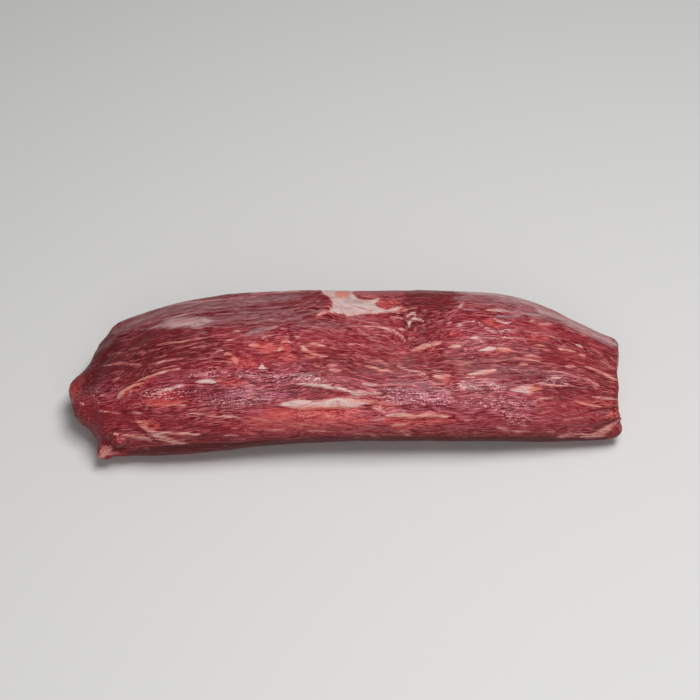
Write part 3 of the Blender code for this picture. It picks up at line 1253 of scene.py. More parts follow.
FOLDS = (
    Fold("lip of the bundle before the crown fat", 1.5, 0.8, ((318, 291), (327, 297), (330, 304),
         (326, 311), (316, 315))),
    Fold("step down to the crown fat", 0.8, -0.7, ((330, 294), (334.5, 303), (332, 311))),
    Fold("first lump of the crown fat", 1.5, 0.4, ((338, 292), (340, 300), (338, 309))),
    Fold("second lump of the crown fat", 1.6, 0.35, ((352, 303), (364, 306), (380, 311))),
    Fold("hollow of the crown fat", 1.0, -0.35, ((346, 294), (346, 302), (350, 310))),
    Fold("dimple", 1.7, -1.5, ((408, 319), (411, 329), (409, 339))),
    Fold("dimple, up and back", 1.6, -0.6, ((416, 320), (438, 307), (458, 297))),
    Fold("dimple, down", 1.7, -0.8, ((411, 338), (422, 354), (431, 366))),
    Fold("ridge into the dimple", 0.9, 0.6, ((360, 328), (375, 326), (390, 329), (400, 335), (406, 341))),
    Fold("ripple", 0.7, 0.35, ((368, 350), (380, 347), (392, 350), (408, 357))),
    Fold("ridge of the left end", 1.4, 0.8, ((119, 395), (128, 388), (142, 381), (160, 374))),
    Fold("groove over that ridge", 1.1, -0.5, ((118, 386), (130, 379), (150, 372))),
    Fold("pale pad", 1.1, 0.5, ((194, 381), (206, 380), (219, 382))),
    Fold("pale pad, left", 0.9, 0.4, ((155, 393), (170, 389), (184, 385))),
    Fold("seam wedge", 1.7, 0.4, ((280, 405), (300, 404), (330, 403), (360, 403))),
    Fold("groove under the seam wedge", 0.9, -0.35, ((282, 412), (320, 412), (356, 411))),
    Fold("upper seam", 0.8, 0.35, UPPER_SEAM),
    Fold("groove under the upper seam", 0.7, -0.3, ((300, 387), (318, 389.5), (338, 393))),
    Fold("low seam", 1.0, 0.35, LOW_SEAM),
    Fold("groove over the low seam", 0.9, -0.35, ((376, 404), (392, 408), (415, 410), (440, 410),
         (470, 412))),
    Fold("fork", 0.8, 0.35, FORK),
    Fold("groove over the right pad", 1.2, -0.5, ((500, 384), (520, 380), (545, 379))),
    Fold("right pad", 1.4, 0.5, ((508, 391), (520, 388), (536, 388))),
    Fold("squiggle", 0.8, 0.45, ((478, 321), (484, 327), (497, 331), (511, 329))),
    Fold("hollow beside it", 1.3, -0.5, ((484, 322), (498, 327), (512, 326))),
    Fold("end roll", 2.2, 1.1, ((592, 424), (604, 420), (614, 417), (621, 416))),
    Fold("groove over the end roll", 0.9, -1.2, ((588, 413), (604, 410.5), (618, 409))),
    Fold("left lump", 2.8, 1.4, ((114, 436), (119, 440))),
    Fold("gap beside the left lump", 0.9, -0.7, ((107, 432), (107, 440), (111, 447), (120, 450))),
    Fold("gap over the tag", 0.8, -0.7, ((110, 448), (118, 450), (127, 447))),
    Fold("tag", 1.6, 1.6, ((98, 452), (104, 453), (111, 454))),
)
BULGES = (
    Bulge("tag", (101.5, 452), 3.0, (-1.1, -2.1, -0.3)),
    Bulge("upper part of the cut", (618, 368), 13.0, (-0.8, 0.0, 0.0)),
    Bulge("upper corner of the cut", (617, 343), 3.0, (-0.7, 0.3, 0.8)),
    Bulge("end roll", (619.5, 421.5), 3.6, (0.9, -0.2, 0.1)),
    Bulge("lower part of the cut", (619, 392), 5.0, (-0.5, 0.0, 0.0)),
    Bulge("left lump", (118.5, 439), 3.0, (-0.5, -1.5, 0.5)),
)
PULLS = (
    Pull((409, 332), (22.0, 12.0), 6.0),
    Pull((332, 300), (16.0, 9.0), -5.0),
    Pull((590, 400), (16.0, 8.0), 2.0),
)
BANDS = (
    Band(FAT, 48.0, 12.0, -14.0, 9.0, 1.3),
    Band(WHITE, 48.0, 16.0, -16.0, 12.0, 1.0),
    Band(SILVER, 58.0, 22.0, -104.0, -20.0, 0.8),
    Band(SILVER, 60.0, 16.0, 40.0, 112.0, 0.75),
    Band(SILVER, 104.0, 16.0, -60.0, 30.0, 0.6),
    # Painted shade: darker on the lower back and the underside.
    Band(DARK, 130.0, 40.0, -112.0, 10.0, 0.6),
    Band(DARK, 180.0, 45.0, -100.0, 110.0, 0.5),
    Band(COOL, 88.0, 18.0, -20.0, 70.0, 0.6),
    Band(WET, 96.0, 14.0, -10.0, 90.0, 0.7),
    Band(WARM, 118.0, 12.0, 20.0, 100.0, 0.6),
    Band(PALE, 90.0, 24.0, -10.0, 105.0, 0.5),
)

CROWN_BITS = brush(
    FAT,
    (0.75, 0.9, (329, 311), (324, 313), (317, 315.5)),
    (0.5, 0.7, (328, 308.5), (322, 311.5)),
    (0.65, 0.9, (390, 317.5), (396, 318), (403, 318.5)),
    (0.5, 0.9, (395, 313.5), (401, 312.5)),
    (0.55, 0.75, (361, 295.6), (367, 296), (374, 294.6)),
    (0.55, 0.6, (357, 316.5), (366, 316)),
    (0.6, 0.6, (361, 290), (372, 289.6)),
    (0.9, 0.42, (358, 293), (366, 293.5), (373, 292.5)),
    (0.45, 0.6, (352, 321.5), (362, 320.5), (374, 322.5), (384, 324)),
    (0.45, 0.7, (404, 310), (411, 308.6), (420, 307)),
)
CROWN_WARMTH = brush(
    WARM,
    (1.9, 1.2, (378, 304), (386, 305), (396, 304.5)),
    (1.7, 1.2, (338, 294), (342, 294), (347, 293.8)),
    (1.3, 1.1, (400, 311), (403, 309)),
    (0.8, 1.0, (347.5, 316), (348, 320)),
    (1.6, 0.5, (358, 295), (368, 296), (376, 295)),
    (0.9, 0.5, (338, 312.5), (352, 313.5), (372, 312.5)),
    (0.9, 0.5, (332, 300), (333.5, 305), (331.5, 310)),
    (1.0, 0.45, (356, 299.5), (366, 300.5), (375, 299)),
)
CROWN_SHEEN = brush(
    SILVER,
    (0.8, 0.9, (345, 303), (347.5, 300), (350, 297)),
    (0.6, 0.5, (350, 303), (356, 302), (364, 303)),
    (0.7, 0.5, (334, 306), (345, 309), (352, 308)),
)
DARK_AND_SHADED_PLACES = brush(
    DARK,
    (0.8, 0.9, (388, 313.8), (395, 314.6)),
    (0.7, 0.5, (352, 317.5), (366, 317.5)),
    # Painted shade in the step down to the crown fat.
    (1.0, 0.6, (332, 297), (334, 304), (331, 310)),
    (2.4, 0.6, (296, 309), (310, 302), (322, 295)),
    # Painted shade in the creases of the dimple.
    (3.2, 0.75, (416, 322), (436, 309), (458, 297)),
    (2.6, 0.6, (412, 340), (422, 352), (430, 364)),
    (2.0, 0.5, (408, 340), (414, 334), (424, 328)),
    # Painted shade on the left shoulder, which turns from the light.
    (3.4, 1.0, (72, 378), (82, 364), (92, 350), (106, 336)),
    (6.0, 1.5, (88, 386), (94, 372), (104, 358), (116, 346)),
    # Painted shade under the end roll.
    (0.6, 1.3, (583, 433.6), (592, 431.4), (599, 427.8), (606, 423.4), (614, 420)),
    # Painted shade in the gap round the left lump.
    (1.2, 1.0, (103, 438), (106, 445)),
    (0.8, 1.4, (126, 433), (128.5, 439), (126, 446), (119, 448.5), (111, 445), (109, 436)),
    (0.6, 1.2, (112, 431), (117, 429.5), (123, 431.5)),
    # Painted shade in the groove under the upper seam.
    (0.8, 0.6, (300, 388), (318, 390.5), (340, 394.5)),
    (0.6, 1.0, (303, 399.4), (313, 399.6), (323, 398.6)),
    # Painted shade along the bottom edge.
    (1.7, 2.2, (150, 449), (200, 446.5), (260, 443.5), (330, 440.6), (400, 439.6), (480, 439.6),
     (560, 440), (604, 438.8)),
    # Painted shade on the underside of the end roll and in the groove over it.
    (2.0, 0.6, (590, 426), (604, 419), (614, 418)),
    (0.8, 0.8, (595, 412), (606, 410.5), (618, 409.5)),
    (2.0, 0.5, (525, 350), (548, 356), (566, 362)),
    (3.0, 0.4, (452, 352), (462, 362), (470, 368)),
    (4.0, 0.5, (186, 392), (208, 392), (230, 391)),
    (4.0, 0.5, (132, 413), (152, 414), (176, 415)),
    # Painted shade under the low wedge.
    (2.6, 1.7, (128, 453), (160, 452), (200, 449.5), (240, 446.5)),
)
UPPER_SKIN_AND_SHEEN = brush(
    SILVER,
    # Silverskin on the top-left rim; these two broad strokes are also painted sheen, a grey reflection at
    # grazing angles.
    (3.0, 0.64, (112, 333), (124, 328), (145, 318), (170, 310), (200, 303)),
    (2.8, 0.62, (190, 309), (230, 303), (262, 300), (300, 297)),
    (0.55, 0.9, (140, 330), (160, 326), (172, 323)),
    (0.55, 0.8, (150, 322), (168, 318), (192, 313), (215, 311)),
    (0.55, 0.8, (160, 316), (190, 310), (225, 306), (262, 304)),
    (0.55, 0.7, (196, 313), (225, 309.5), (262, 308), (300, 305)),
    (0.55, 0.7, (215, 315), (245, 312.5), (275, 311), (300, 308)),
    (0.55, 0.6, (225, 319), (250, 316), (280, 314), (312, 310)),
    (2.4, 0.62, (246, 334), (262, 330), (276, 325)),
    (3.8, 0.58, (205, 322), (240, 318), (275, 316), (300, 318)),
    (2.2, 0.5, (286, 329), (296, 326), (306, 321)),
    (3.0, 0.5, (300, 325), (325, 324), (352, 326)),
    (1.5, 0.42, (240, 325), (262, 321), (284, 313)),
    (0.6, 0.75, (280, 322), (298, 316), (316, 312), (326, 308)),
    (0.6, 0.6, (302, 305), (312, 300), (318, 296)),
    (0.6, 0.6, (304, 309), (316, 303), (323, 297)),
    (0.6, 0.55, (308, 313), (320, 306), (327, 300)),
)
UPPER_STREAKS = brush(
    FAT,
    (0.55, 0.75, (165, 306), (185, 303), (205, 301), (225, 299.5)),
    (0.6, 0.65, (225, 299.5), (245, 297.5), (258, 296)),
    (0.8, 0.75, (250, 294), (270, 292), (300, 291)),
    (0.58, 1.0, (166, 325), (169, 324.5)),
    (0.8, 0.5, (172, 322), (186, 320), (203, 320)),
    (0.5, 0.65, (300, 326.5), (312, 327), (325, 328.5)),
)
LEFT_STREAKS = brush(
    FAT,
    (0.52, 0.75, (155, 345), (178, 342), (215, 336)),
    (0.52, 0.75, (190, 348), (213, 345)),
    (0.52, 0.65, (128, 350), (140, 347)),
    (0.52, 0.65, (155, 358), (168, 355)),
    (0.62, 0.8, (152, 364), (165, 361), (183, 358)),
    (0.6, 0.8, (103, 366), (120, 363), (142, 365)),
    (0.52, 0.7, (130, 361), (140, 359)),
    (0.52, 0.75, (112, 382), (120, 377)),
    (0.52, 0.75, (193, 376), (205, 373), (220, 369)),
    (0.52, 0.6, (186, 330), (200, 328), (214, 325)),
    (0.52, 0.5, (120, 341), (138, 337)),
    (0.52, 0.5, (140, 354), (152, 351)),
    (0.52, 0.55, (178, 354), (196, 351)),
    (0.52, 0.5, (112, 373), (124, 371)),
    (0.52, 0.5, (190, 361), (205, 358), (214, 358)),
    (0.5, 0.8, (98, 410.6), (110, 412)),
    (0.5, 0.8, (110, 412.4), (121, 413.7)),
    (0.5, 0.55, (105, 405), (116, 407)),
    (0.52, 0.8, (130.5, 412), (143, 414)),
    (0.6, 1.0, (80.5, 403), (83.5, 404.5)),
)
PADS = brush(
    FAT,
    (1.0, 0.85, (156.4, 392.3), (167, 389.2), (182.3, 385.2)),
    (0.58, 0.5, (190, 385), (205, 386.5)),
    (1.0, 1.15, (118, 397.4), (120.6, 394.2), (124, 391.4)),
    (0.65, 1.15, (120, 392.6), (126.5, 388.8), (134, 385), (144, 383)),
    (0.55, 0.95, (137, 381.6), (145, 378), (158, 373.6), (172, 370), (182, 368)),
    (0.55, 0.9, (165, 405.5), (175, 405), (186, 405)),
    (0.85, 0.7, (246.5, 385.2), (255.5, 384.8)),
    (0.52, 0.45, (236, 395), (252, 392), (262, 393)),
)
WARM_PLACES = brush(
    WARM,
    (1.8, 0.8, (120, 396), (126, 391.5), (136, 387)),
    (0.7, 1.2, (411, 328), (411.6, 335)),
    (0.9, 1.3, (449, 335), (452, 333.8), (456, 334.8)),
    (1.0, 1.1, (579, 335), (588, 336.4)),
    (2.0, 0.7, (592, 341), (598, 346), (603, 353)),
    (2.6, 0.7, (482, 355.6), (496, 355), (510, 355)),
    (2.6, 1.0, (232, 360), (244, 362), (256, 365)),
    (2.0, 1.6, (258, 346), (266, 347.4), (275, 350)),
    (1.6, 1.5, (282, 344), (285, 347), (288, 351)),
    (1.2, 0.8, (304, 349), (309, 353), (318, 355.6)),
    (1.0, 0.9, (309, 345.5), (317, 347), (325, 349)),
    (1.2, 0.9, (250, 346), (258, 345.6)),
    (1.4, 0.9, (226, 353.6), (233, 355), (240, 360)),
    (1.2, 1.1, (606, 417), (614, 414.6), (620, 415)),
    (4.0, 0.5, (256, 352), (280, 352), (306, 358)),
    (2.0, 0.9, (284, 357), (296, 359)),
    (1.2, 0.5, (308, 343), (326, 344)),
    (1.5, 0.7, (300, 350), (312, 357), (330, 358)),
    (2.2, 1.2, (144, 401.5), (162, 402.5), (182, 402)),
    (2.0, 0.9, (160, 394), (170, 396), (178, 396)),
    (1.6, 1.1, (122, 393), (132, 389), (140, 385), (158, 376)),
    (1.3, 1.1, (218, 382), (232, 382.5), (246, 382)),
    (2.4, 1.1, (84, 376), (79, 382), (72, 390), (74, 402)),
    (1.4, 0.6, (96, 404), (106, 405), (114, 408)),
    (2.4, 1.2, (266, 412), (300, 412), (358, 411)),
    (3.4, 1.1, (266, 418), (300, 418), (345, 417)),
    (3.6, 0.8, (250, 421), (310, 423), (370, 421)),
    (4.0, 0.3, (346, 362), (372, 360), (398, 366)),
    (3.0, 0.6, (256, 427), (300, 428), (360, 427)),
    (2.0, 0.5, (340, 395), (352, 401), (372, 399)),
    (2.6, 0.9, (366, 399), (380, 403), (394, 406)),
    (2.2, 1.0, (384, 421), (410, 420), (454, 421)),
    (1.6, 1.0, (391, 428), (400, 427), (410, 427)),
    (1.8, 1.2, (142, 422.5), (150, 425.5), (160, 428.5)),
    (2.6, 0.35, (138, 423), (152, 432), (172, 441)),
    (1.6, 0.5, (180, 424), (210, 424), (240, 424)),
    (1.8, 0.8, (117, 438.5), (122, 442)),
    (1.2, 1.2, (463, 305), (470, 305), (477, 306)),
    (1.8, 0.85, (482, 320.5), (490, 322.5), (502, 326)),
    (1.2, 1.1, (498, 351), (506, 352.5), (514, 351)),
    (1.3, 1.1, (526, 337.5), (547, 338.5)),
    (1.8, 0.8, (438, 378.6), (448, 379.6), (455, 378)),
    (1.6, 1.1, (530, 390), (537, 388), (544, 387.5)),
    (1.2, 0.7, (474, 376), (486, 374.5), (500, 371)),
    (1.6, 0.5, (413, 350.5), (425, 348.5), (440, 345)),
    (1.0, 0.45, (430, 345), (434, 344.6), (438, 343.6)),
    (1.6, 0.9, (560, 352), (575, 355), (584, 358)),
    (5.0, 0.6, (560, 352), (585, 364), (610, 380)),
    (3.0, 0.65, (572, 402), (592, 404), (614, 404)),
    (1.4, 0.6, (528, 325), (553, 326)),
    (3.5, 0.35, (300, 330), (330, 336), (352, 340)),
    (1.6, 0.8, (618, 400), (619, 420)),
    (2.6, 0.4, (610, 352), (613, 372), (615, 395), (615, 408)),
)
MIDDLE_FLECKS = brush(
    FAT,
    (0.75, 0.85, (215.5, 352), (219, 350), (223, 350.5)),
    (0.52, 0.5, (211, 356), (215.5, 352)),
    (0.8, 0.85, (224, 354.5), (228, 353), (232, 354.5)),
    (1.1, 1.05, (234, 358.5), (235.6, 360), (236.4, 362)),
    (0.58, 0.8, (232, 331.5), (240, 330.5)),
    (0.52, 0.65, (224, 341), (234, 339), (243, 336)),
    (0.52, 0.6, (243, 336), (252, 334)),
    (0.85, 1.0, (249, 345.5), (254, 345.5), (260, 345)),
    (0.52, 0.6, (250, 340), (252.5, 344)),
    (0.6, 0.8, (263, 338), (266, 340), (271, 340.5)),
    (0.6, 0.75, (269, 328.5), (274, 327), (279, 326.5)),
    (0.8, 1.1, (277.6, 351), (279.6, 349.6), (281.6, 348)),
    (0.62, 0.95, (280, 343.6), (284, 341.6), (288, 341.2), (292.6, 343)),
    (0.7, 0.85, (294, 336), (297, 337), (300.5, 337.8)),
    (0.95, 1.1, (301.4, 345.6), (304, 348.6), (307.6, 351.2)),
    (0.85, 0.85, (307, 351), (311, 353), (316, 355), (321, 356)),
    (0.5, 0.85, (305, 356.6), (310, 357.6), (316, 357.4)),
    (0.58, 0.9, (317, 355.5), (322, 356), (328, 356)),
    (0.65, 0.95, (309, 343.6), (316, 344), (325, 346.2)),
    (0.52, 0.8, (321.5, 339), (324.5, 345)),
    (0.65, 0.8, (330.5, 347), (336, 349)),
    (0.6, 0.7, (271, 363.5), (277, 364.5), (282.5, 366.7)),
    (0.52, 0.6, (312, 365), (320, 366)),
    (0.7, 0.9, (327, 365.2), (335.6, 365.4)),
    (0.6, 0.85, (328, 370), (342, 370.5)),
    (0.52, 0.6, (335, 354), (348, 355)),
    (0.52, 0.35, (352, 352), (368, 354)),
    (0.52, 0.5, (284, 358), (296, 361)),
    (0.52, 0.45, (208, 390), (222, 388)),
    (0.5, 0.75, (346.7, 326.8), (350, 325.3), (358, 326.8), (367, 326), (378, 326.4)),
    (0.65, 1.0, (376, 326.2), (385, 328), (391, 329), (396, 331.8), (401, 335.6), (406, 342)),
    (0.6, 0.75, (369, 339.6), (375, 340.4), (380.5, 341.8)),
    (0.5, 0.5, (352, 334), (362, 333)),
    (0.5, 0.4, (366, 356), (374, 357.5), (384, 357)),
    (0.5, 0.55, (376, 348.4), (384, 347), (392, 350)),
)
HAIRLINES = brush(
    FAT,
    (0.42, 0.8, (346, 345), (356, 343), (366, 346), (378, 352)),
    (0.42, 0.5, (350, 356), (362, 354), (372, 358), (380, 362)),
    (0.42, 0.45, (384, 352), (392, 356), (400, 362), (406, 367)),
    (0.42, 0.8, (372, 331), (382, 334), (392, 340), (400, 348)),
    (0.42, 0.5, (346, 362), (356, 364), (368, 362), (377, 364)),
    (0.42, 0.75, (414, 372), (428, 380), (440, 388), (450, 391)),
    (0.42, 0.7, (424, 366), (434, 371), (448, 372)),
    (0.42, 0.7, (438, 362), (456, 361), (470, 364)),
    (0.42, 0.7, (470, 380), (490, 379), (512, 380)),
    (0.42, 0.75, (494, 362), (514, 358), (534, 360), (552, 366)),
    (0.42, 0.75, (540, 370), (560, 372), (580, 378), (600, 385)),
    (0.42, 0.6, (596, 352), (604, 358), (612, 369)),
    (0.42, 0.7, (520, 331), (540, 333), (562, 340)),
    (0.42, 0.7, (460, 330), (472, 331), (484, 334)),
    (0.42, 0.6, (452, 398), (470, 395), (492, 397), (508, 401)),
    (0.42, 0.6, (400, 382), (416, 386), (430, 394)),
    (0.42, 0.6, (376, 386), (392, 384), (410, 388)),
    (0.42, 0.6, (196, 364), (214, 361), (232, 363)),
    (0.42, 0.65, (168, 350), (190, 345), (206, 341)),
    (0.42, 0.6, (124, 356), (142, 352), (160, 349)),
    (0.42, 0.6, (106, 356), (116, 353), (128, 353)),
    (0.42, 0.6, (150, 372), (168, 367), (186, 364)),
)
SEAMS = brush(
    FAT,
    (0.5, 0.9, (290, 383.4), (309, 384.1)),
    (0.95, 1.02, (300, 383.8), (320, 385.8), (337, 388.5), (352, 391.6)),
    (0.9, 0.9, (346, 391), (366, 392.8), (383, 394)),
    (0.8, 0.9, (361, 384), (370, 384.6), (379, 385.4)),
    (1.6, 0.8, (346, 403), (358, 402.6), (370, 403)),
    (0.8, 0.8, (364, 399.6), (375, 402), (385, 405)),
    (0.6, 0.7, (366, 406.6), (376, 406), (388, 408.6)),
    (0.9, 0.9, (373.5, 407.8), (379, 409.2), (385, 412)),
    (1.05, 1.05, *LOW_SEAM),
    (0.8, 0.8, (392, 416), (403, 416.4), (412, 417)),
    (0.58, 0.8, (370, 419.5), (378, 419.6), (386, 418.5)),
    (0.52, 0.5, (448, 417.5), (458, 418.5)),
    (0.8, 1.0, (391.5, 426), (397, 424.6), (406.5, 424.2)),
    (0.52, 0.7, (398, 430.8), (406, 431), (414, 432)),
    (0.52, 0.5, (430, 412), (440, 411.6), (452, 413)),
)
LOW_STREAKS = brush(
    FAT,
    (0.55, 0.85, (190, 413.5), (205, 415), (222, 416)),
    (0.8, 0.9, (206, 415.4), (214, 416.6), (224, 416.2), (233, 416.8), (241, 418)),
    (0.52, 0.6, (190, 410), (208, 410.5)),
    (0.55, 0.8, (250, 418.6), (262, 419.4), (272, 422)),
    (0.52, 0.7, (230, 428), (237, 429)),
    (0.52, 0.65, (222, 435), (240, 436)),
    (0.52, 0.65, (245, 432), (256, 434)),
    (0.58, 0.85, (265, 430), (285, 430)),
    (0.52, 0.75, (298, 424.4), (310, 425), (321, 425.4)),
    (0.58, 0.85, (308, 431), (326, 431)),
    (0.52, 0.75, (340, 431), (358, 433)),
    (0.55, 0.75, (403, 434.6), (413, 435.4)),
    (0.65, 0.95, (160, 432), (174, 433.6), (186, 433.6), (200, 434.6)),
    (0.85, 0.85, (122, 435.4), (129, 436), (138, 437.5), (148, 438.8), (153, 440.8)),
    (0.52, 0.6, (165, 441), (185, 444)),
    # Painted highlight: a white glint on the left lump, with WHITE_GLINT.
    (0.42, 1.3, (114.6, 433.6), (116.4, 434.2)),
    (1.3, 0.85, (144, 425.6), (151, 430), (158, 434.6), (166, 439), (174, 441.4)),
    (0.8, 0.75, (136, 421), (142, 422), (150, 422.4)),
)
WHITE_GLINT = brush(
    WHITE,
    (1.2, 1.2, (114, 433.6), (117, 434.2)),
)
RIGHT_FLECKS = brush(
    FAT,
    (0.8, 0.95, (470, 338.6), (477, 337.4), (481, 341), (486, 343.8)),
    (1.0, 0.8, (424, 344.6), (431, 343.6), (440, 342)),
    (0.9, 0.8, (486, 310.2), (496, 309.8), (508, 311.4)),
    (0.9, 1.0, (448.5, 347.4), (454, 346.4), (461, 346.2)),
    (0.48, 1.05, (364, 366), (370, 367.2), (375, 367.4), (380, 370.4), (386, 370), (394, 372.4)),
    (1.0, 0.8, (397, 366), (404.4, 368.6), (409, 370.7)),
    (0.6, 0.9, *FORK),
    (1.4, 0.8, (433, 376.5), (442, 376.5), (451, 375.5)),
    (0.85, 0.95, (457, 325.8), (461.5, 324.4)),
    (0.42, 0.85, (461.5, 323.4), (466, 322), (469.5, 321.8)),
    (0.5, 0.9, (471.5, 322), (475, 320.8)),
    (0.52, 0.8, (446, 324), (452, 322)),
    (0.8, 1.05, (459.5, 307.6), (461.6, 304.6), (463.6, 301.8)),
    (0.6, 0.9, (477, 320.4), (479, 323), (482.6, 326)),
    (0.6, 0.8, (484.6, 327.4), (489, 329.6), (495.6, 331)),
    (0.55, 0.8, (498, 331.6), (504, 330.6), (511, 329)),
    (0.55, 0.85, (492, 316.7), (495.6, 320), (502.2, 321.7), (506.7, 323.9), (511, 322)),
    (0.85, 1.05, (472, 338), (479.5, 337.4)),
    (0.5, 0.85, (530, 347.6), (540, 348.6), (550, 350.6)),
    (0.5, 0.85, (558, 436.6), (566, 434.4), (573, 432.6)),
    (0.85, 0.85, (477, 338), (480.5, 340.6), (484.6, 344)),
    (0.6, 0.75, (488, 338), (510, 337.6), (530, 338.4)),
    (1.1, 1.0, (497, 349), (504, 349), (511, 350)),
    (0.6, 0.75, (523, 355.6), (532, 355.8), (540, 357)),
    (0.52, 0.8, (536, 345), (546, 346)),
    (0.65, 0.85, (529, 321.8), (534.6, 319.8)),
    (0.6, 0.9, (539, 323.8), (553.5, 324)),
    (0.6, 1.05, (558, 349), (567, 350), (575, 351.8)),
    (0.7, 0.9, (576.5, 344.4), (582.4, 347.4)),
    (0.65, 0.85, (578.5, 354.2), (586, 355.8)),
    (0.62, 0.9, (565, 366), (576, 366.8)),
    (0.65, 0.8, (519, 364.2), (528, 364.4)),
    (0.62, 0.95, (585, 366.4), (593, 368.9), (601, 372.6), (617, 380)),
    (0.52, 0.8, (465.5, 377.2), (475.5, 377.2)),
    (0.85, 0.9, (551.5, 376.8), (560, 378)),
    (0.52, 0.7, (610, 357), (616, 362)),
    (0.85, 0.75, (534, 387.8), (543, 388.4)),
    (0.55, 0.8, (534, 384), (542.2, 382.8), (551, 385.4), (568, 385.8)),
    (0.52, 0.8, (533, 401), (543, 398), (553, 398)),
    (0.52, 0.85, (560, 405), (567, 407)),
    (0.65, 0.95, (575, 401), (588, 405.5), (602, 407)),
    (0.58, 0.95, (592, 397), (604, 398), (617, 399.5)),
    (0.85, 0.85, (584, 379), (591, 381)),
    (0.55, 0.85, (591, 381.4), (600, 386.8)),
    (0.58, 0.85, (562, 421), (572, 418.5), (584, 418)),
    (0.7, 0.9, (512, 422), (515, 424)),
    (0.58, 0.8, (518, 424), (527, 426)),
    (0.85, 0.85, (497, 428), (503, 428.6), (510, 430.4)),
    (0.6, 0.8, (508, 430.4), (516, 431.6), (530, 431.6)),
    (0.52, 0.8, (547, 432), (556, 431)),
    (0.9, 0.75, (558, 437), (568, 435.4), (578, 434), (590, 435)),
    (0.52, 0.6, (600, 417.5), (617, 413)),
    (0.52, 0.5, (596, 350), (604, 356)),
    (0.52, 0.5, (540, 362), (556, 365)),
    (0.52, 0.5, (480, 360), (500, 360)),
    (0.52, 0.45, (430, 393), (446, 390)),
    (0.52, 0.5, (548, 391), (560, 393)),
    (0.5, 0.5, (448, 329), (456, 331)),
    (0.5, 0.6, (600, 360), (612, 368)),
    (0.7, 0.8, (512, 311.7), (520, 311.4), (525.6, 313.6)),
    (0.45, 0.7, (528, 303.5), (548, 310), (566, 318), (590, 329)),
    (0.55, 0.7, (586, 330), (595, 333)),
    (0.55, 0.7, (604, 336), (613, 341)),
    (0.5, 0.9, (449.6, 334.8), (451.6, 332.6), (453, 331.6)),
    (0.45, 0.85, (581, 334.6), (587, 336)),
)
DIMPLE_BITS = brush(
    FAT,
    (0.65, 1.0, (407, 316), (411, 313.6), (415.6, 312.4)),
    (0.4, 0.8, (415, 312.8), (415.8, 316), (414, 318)),
    (0.48, 1.0, (410.6, 318.4), (417.8, 319), (424.6, 321.6)),
    (0.6, 1.15, (410, 321.5), (408.6, 325.5), (407.2, 330)),
    (0.55, 1.0, (399, 328.6), (403, 329.8), (407.4, 330)),
    (0.45, 0.8, (413.4, 325), (414.4, 330), (413.6, 334)),
    (0.52, 0.6, (378, 340), (384, 343)),
)
RIGHT_SKIN = brush(
    SILVER,
    (0.8, 0.9, (512, 312), (520, 311.6), (526, 313.9), (540, 313.9), (551, 314)),
    (0.75, 0.8, (495.6, 315.6), (506.7, 317), (520, 315.6)),
    (0.7, 0.6, (464, 310), (474, 309.6), (482, 310.4)),
    (0.8, 0.85, (520, 313), (535, 315), (550, 316)),
    (2.0, 0.6, (528, 315), (542, 316), (556, 320)),
    (0.9, 0.9, (470, 293), (500, 296), (520, 299), (540, 304)),
    (4.0, 0.6, (456, 298), (500, 302), (540, 312)),
    (2.4, 0.95, (535, 308), (560, 318), (585, 329), (603, 338), (616, 345)),
    (2.2, 0.95, (455, 291), (490, 294), (520, 300), (548, 309)),
    (0.5, 0.8, (476, 297), (500, 301), (528, 306)),
    (0.6, 0.5, (528, 300.5), (560, 312.5), (590, 327.5), (616, 341)),
)
PALE_PLACES = brush(
    PALE,
    (2.2, 0.8, (484, 355.6), (496, 355), (508, 355)),
    (1.4, 1.1, (483, 320), (490, 322.5), (500, 326)),
    (1.4, 0.8, (464, 305), (476, 306)),
    (1.6, 1.2, (146, 401.6), (162, 402.4), (180, 402)),
    (2.2, 0.9, (436, 379), (446, 380), (456, 380)),
    (5.0, 1.1, (566, 404), (590, 404), (614, 404)),
    (5.0, 1.0, (400, 418), (450, 420), (500, 420)),
    (1.8, 1.2, (260, 346), (266, 347.4), (273, 349)),
    (1.4, 1.2, (282, 344), (285, 347), (288, 351)),
    (2.6, 1.3, (291, 358), (298, 359.6), (306, 360)),
    (1.8, 1.0, (238, 362), (246, 363.4), (256, 365)),
    (3.4, 1.5, (244, 412), (270, 416), (300, 417)),
    (3.4, 1.8, (344, 410), (370, 410), (398, 413)),
    (3.0, 1.4, (300, 415), (345, 414)),
    (4.0, 2.0, (244, 420), (300, 422), (350, 421), (392, 419)),
    (4.0, 1.8, (514, 415), (536, 417), (560, 417)),
    (3.6, 0.7, (514, 362), (536, 364), (560, 362)),
)
MAUVE_PLACES = brush(
    COOL,
    (3.0, 1.0, (190, 392), (215, 393), (250, 393), (300, 393)),
    (3.2, 0.8, (150, 382), (185, 378), (215, 374)),
    (3.0, 0.8, (240, 374), (275, 377), (320, 379)),
    (6.0, 0.9, (380, 398), (415, 398), (450, 402)),
    (5.0, 0.7, (455, 405), (490, 405), (535, 405)),
    (3.0, 0.6, (85, 388), (100, 392), (112, 386)),
    (3.5, 0.7, (540, 380), (556, 376), (570, 380)),
    (5.0, 0.6, (480, 384), (505, 374), (530, 378), (560, 384)),
    (3.0, 0.5, (286, 357), (296, 361), (310, 362)),
    (4.5, 0.4, (465, 344), (480, 356), (470, 366)),
    (3.0, 0.4, (456, 316), (470, 330), (500, 342)),
)
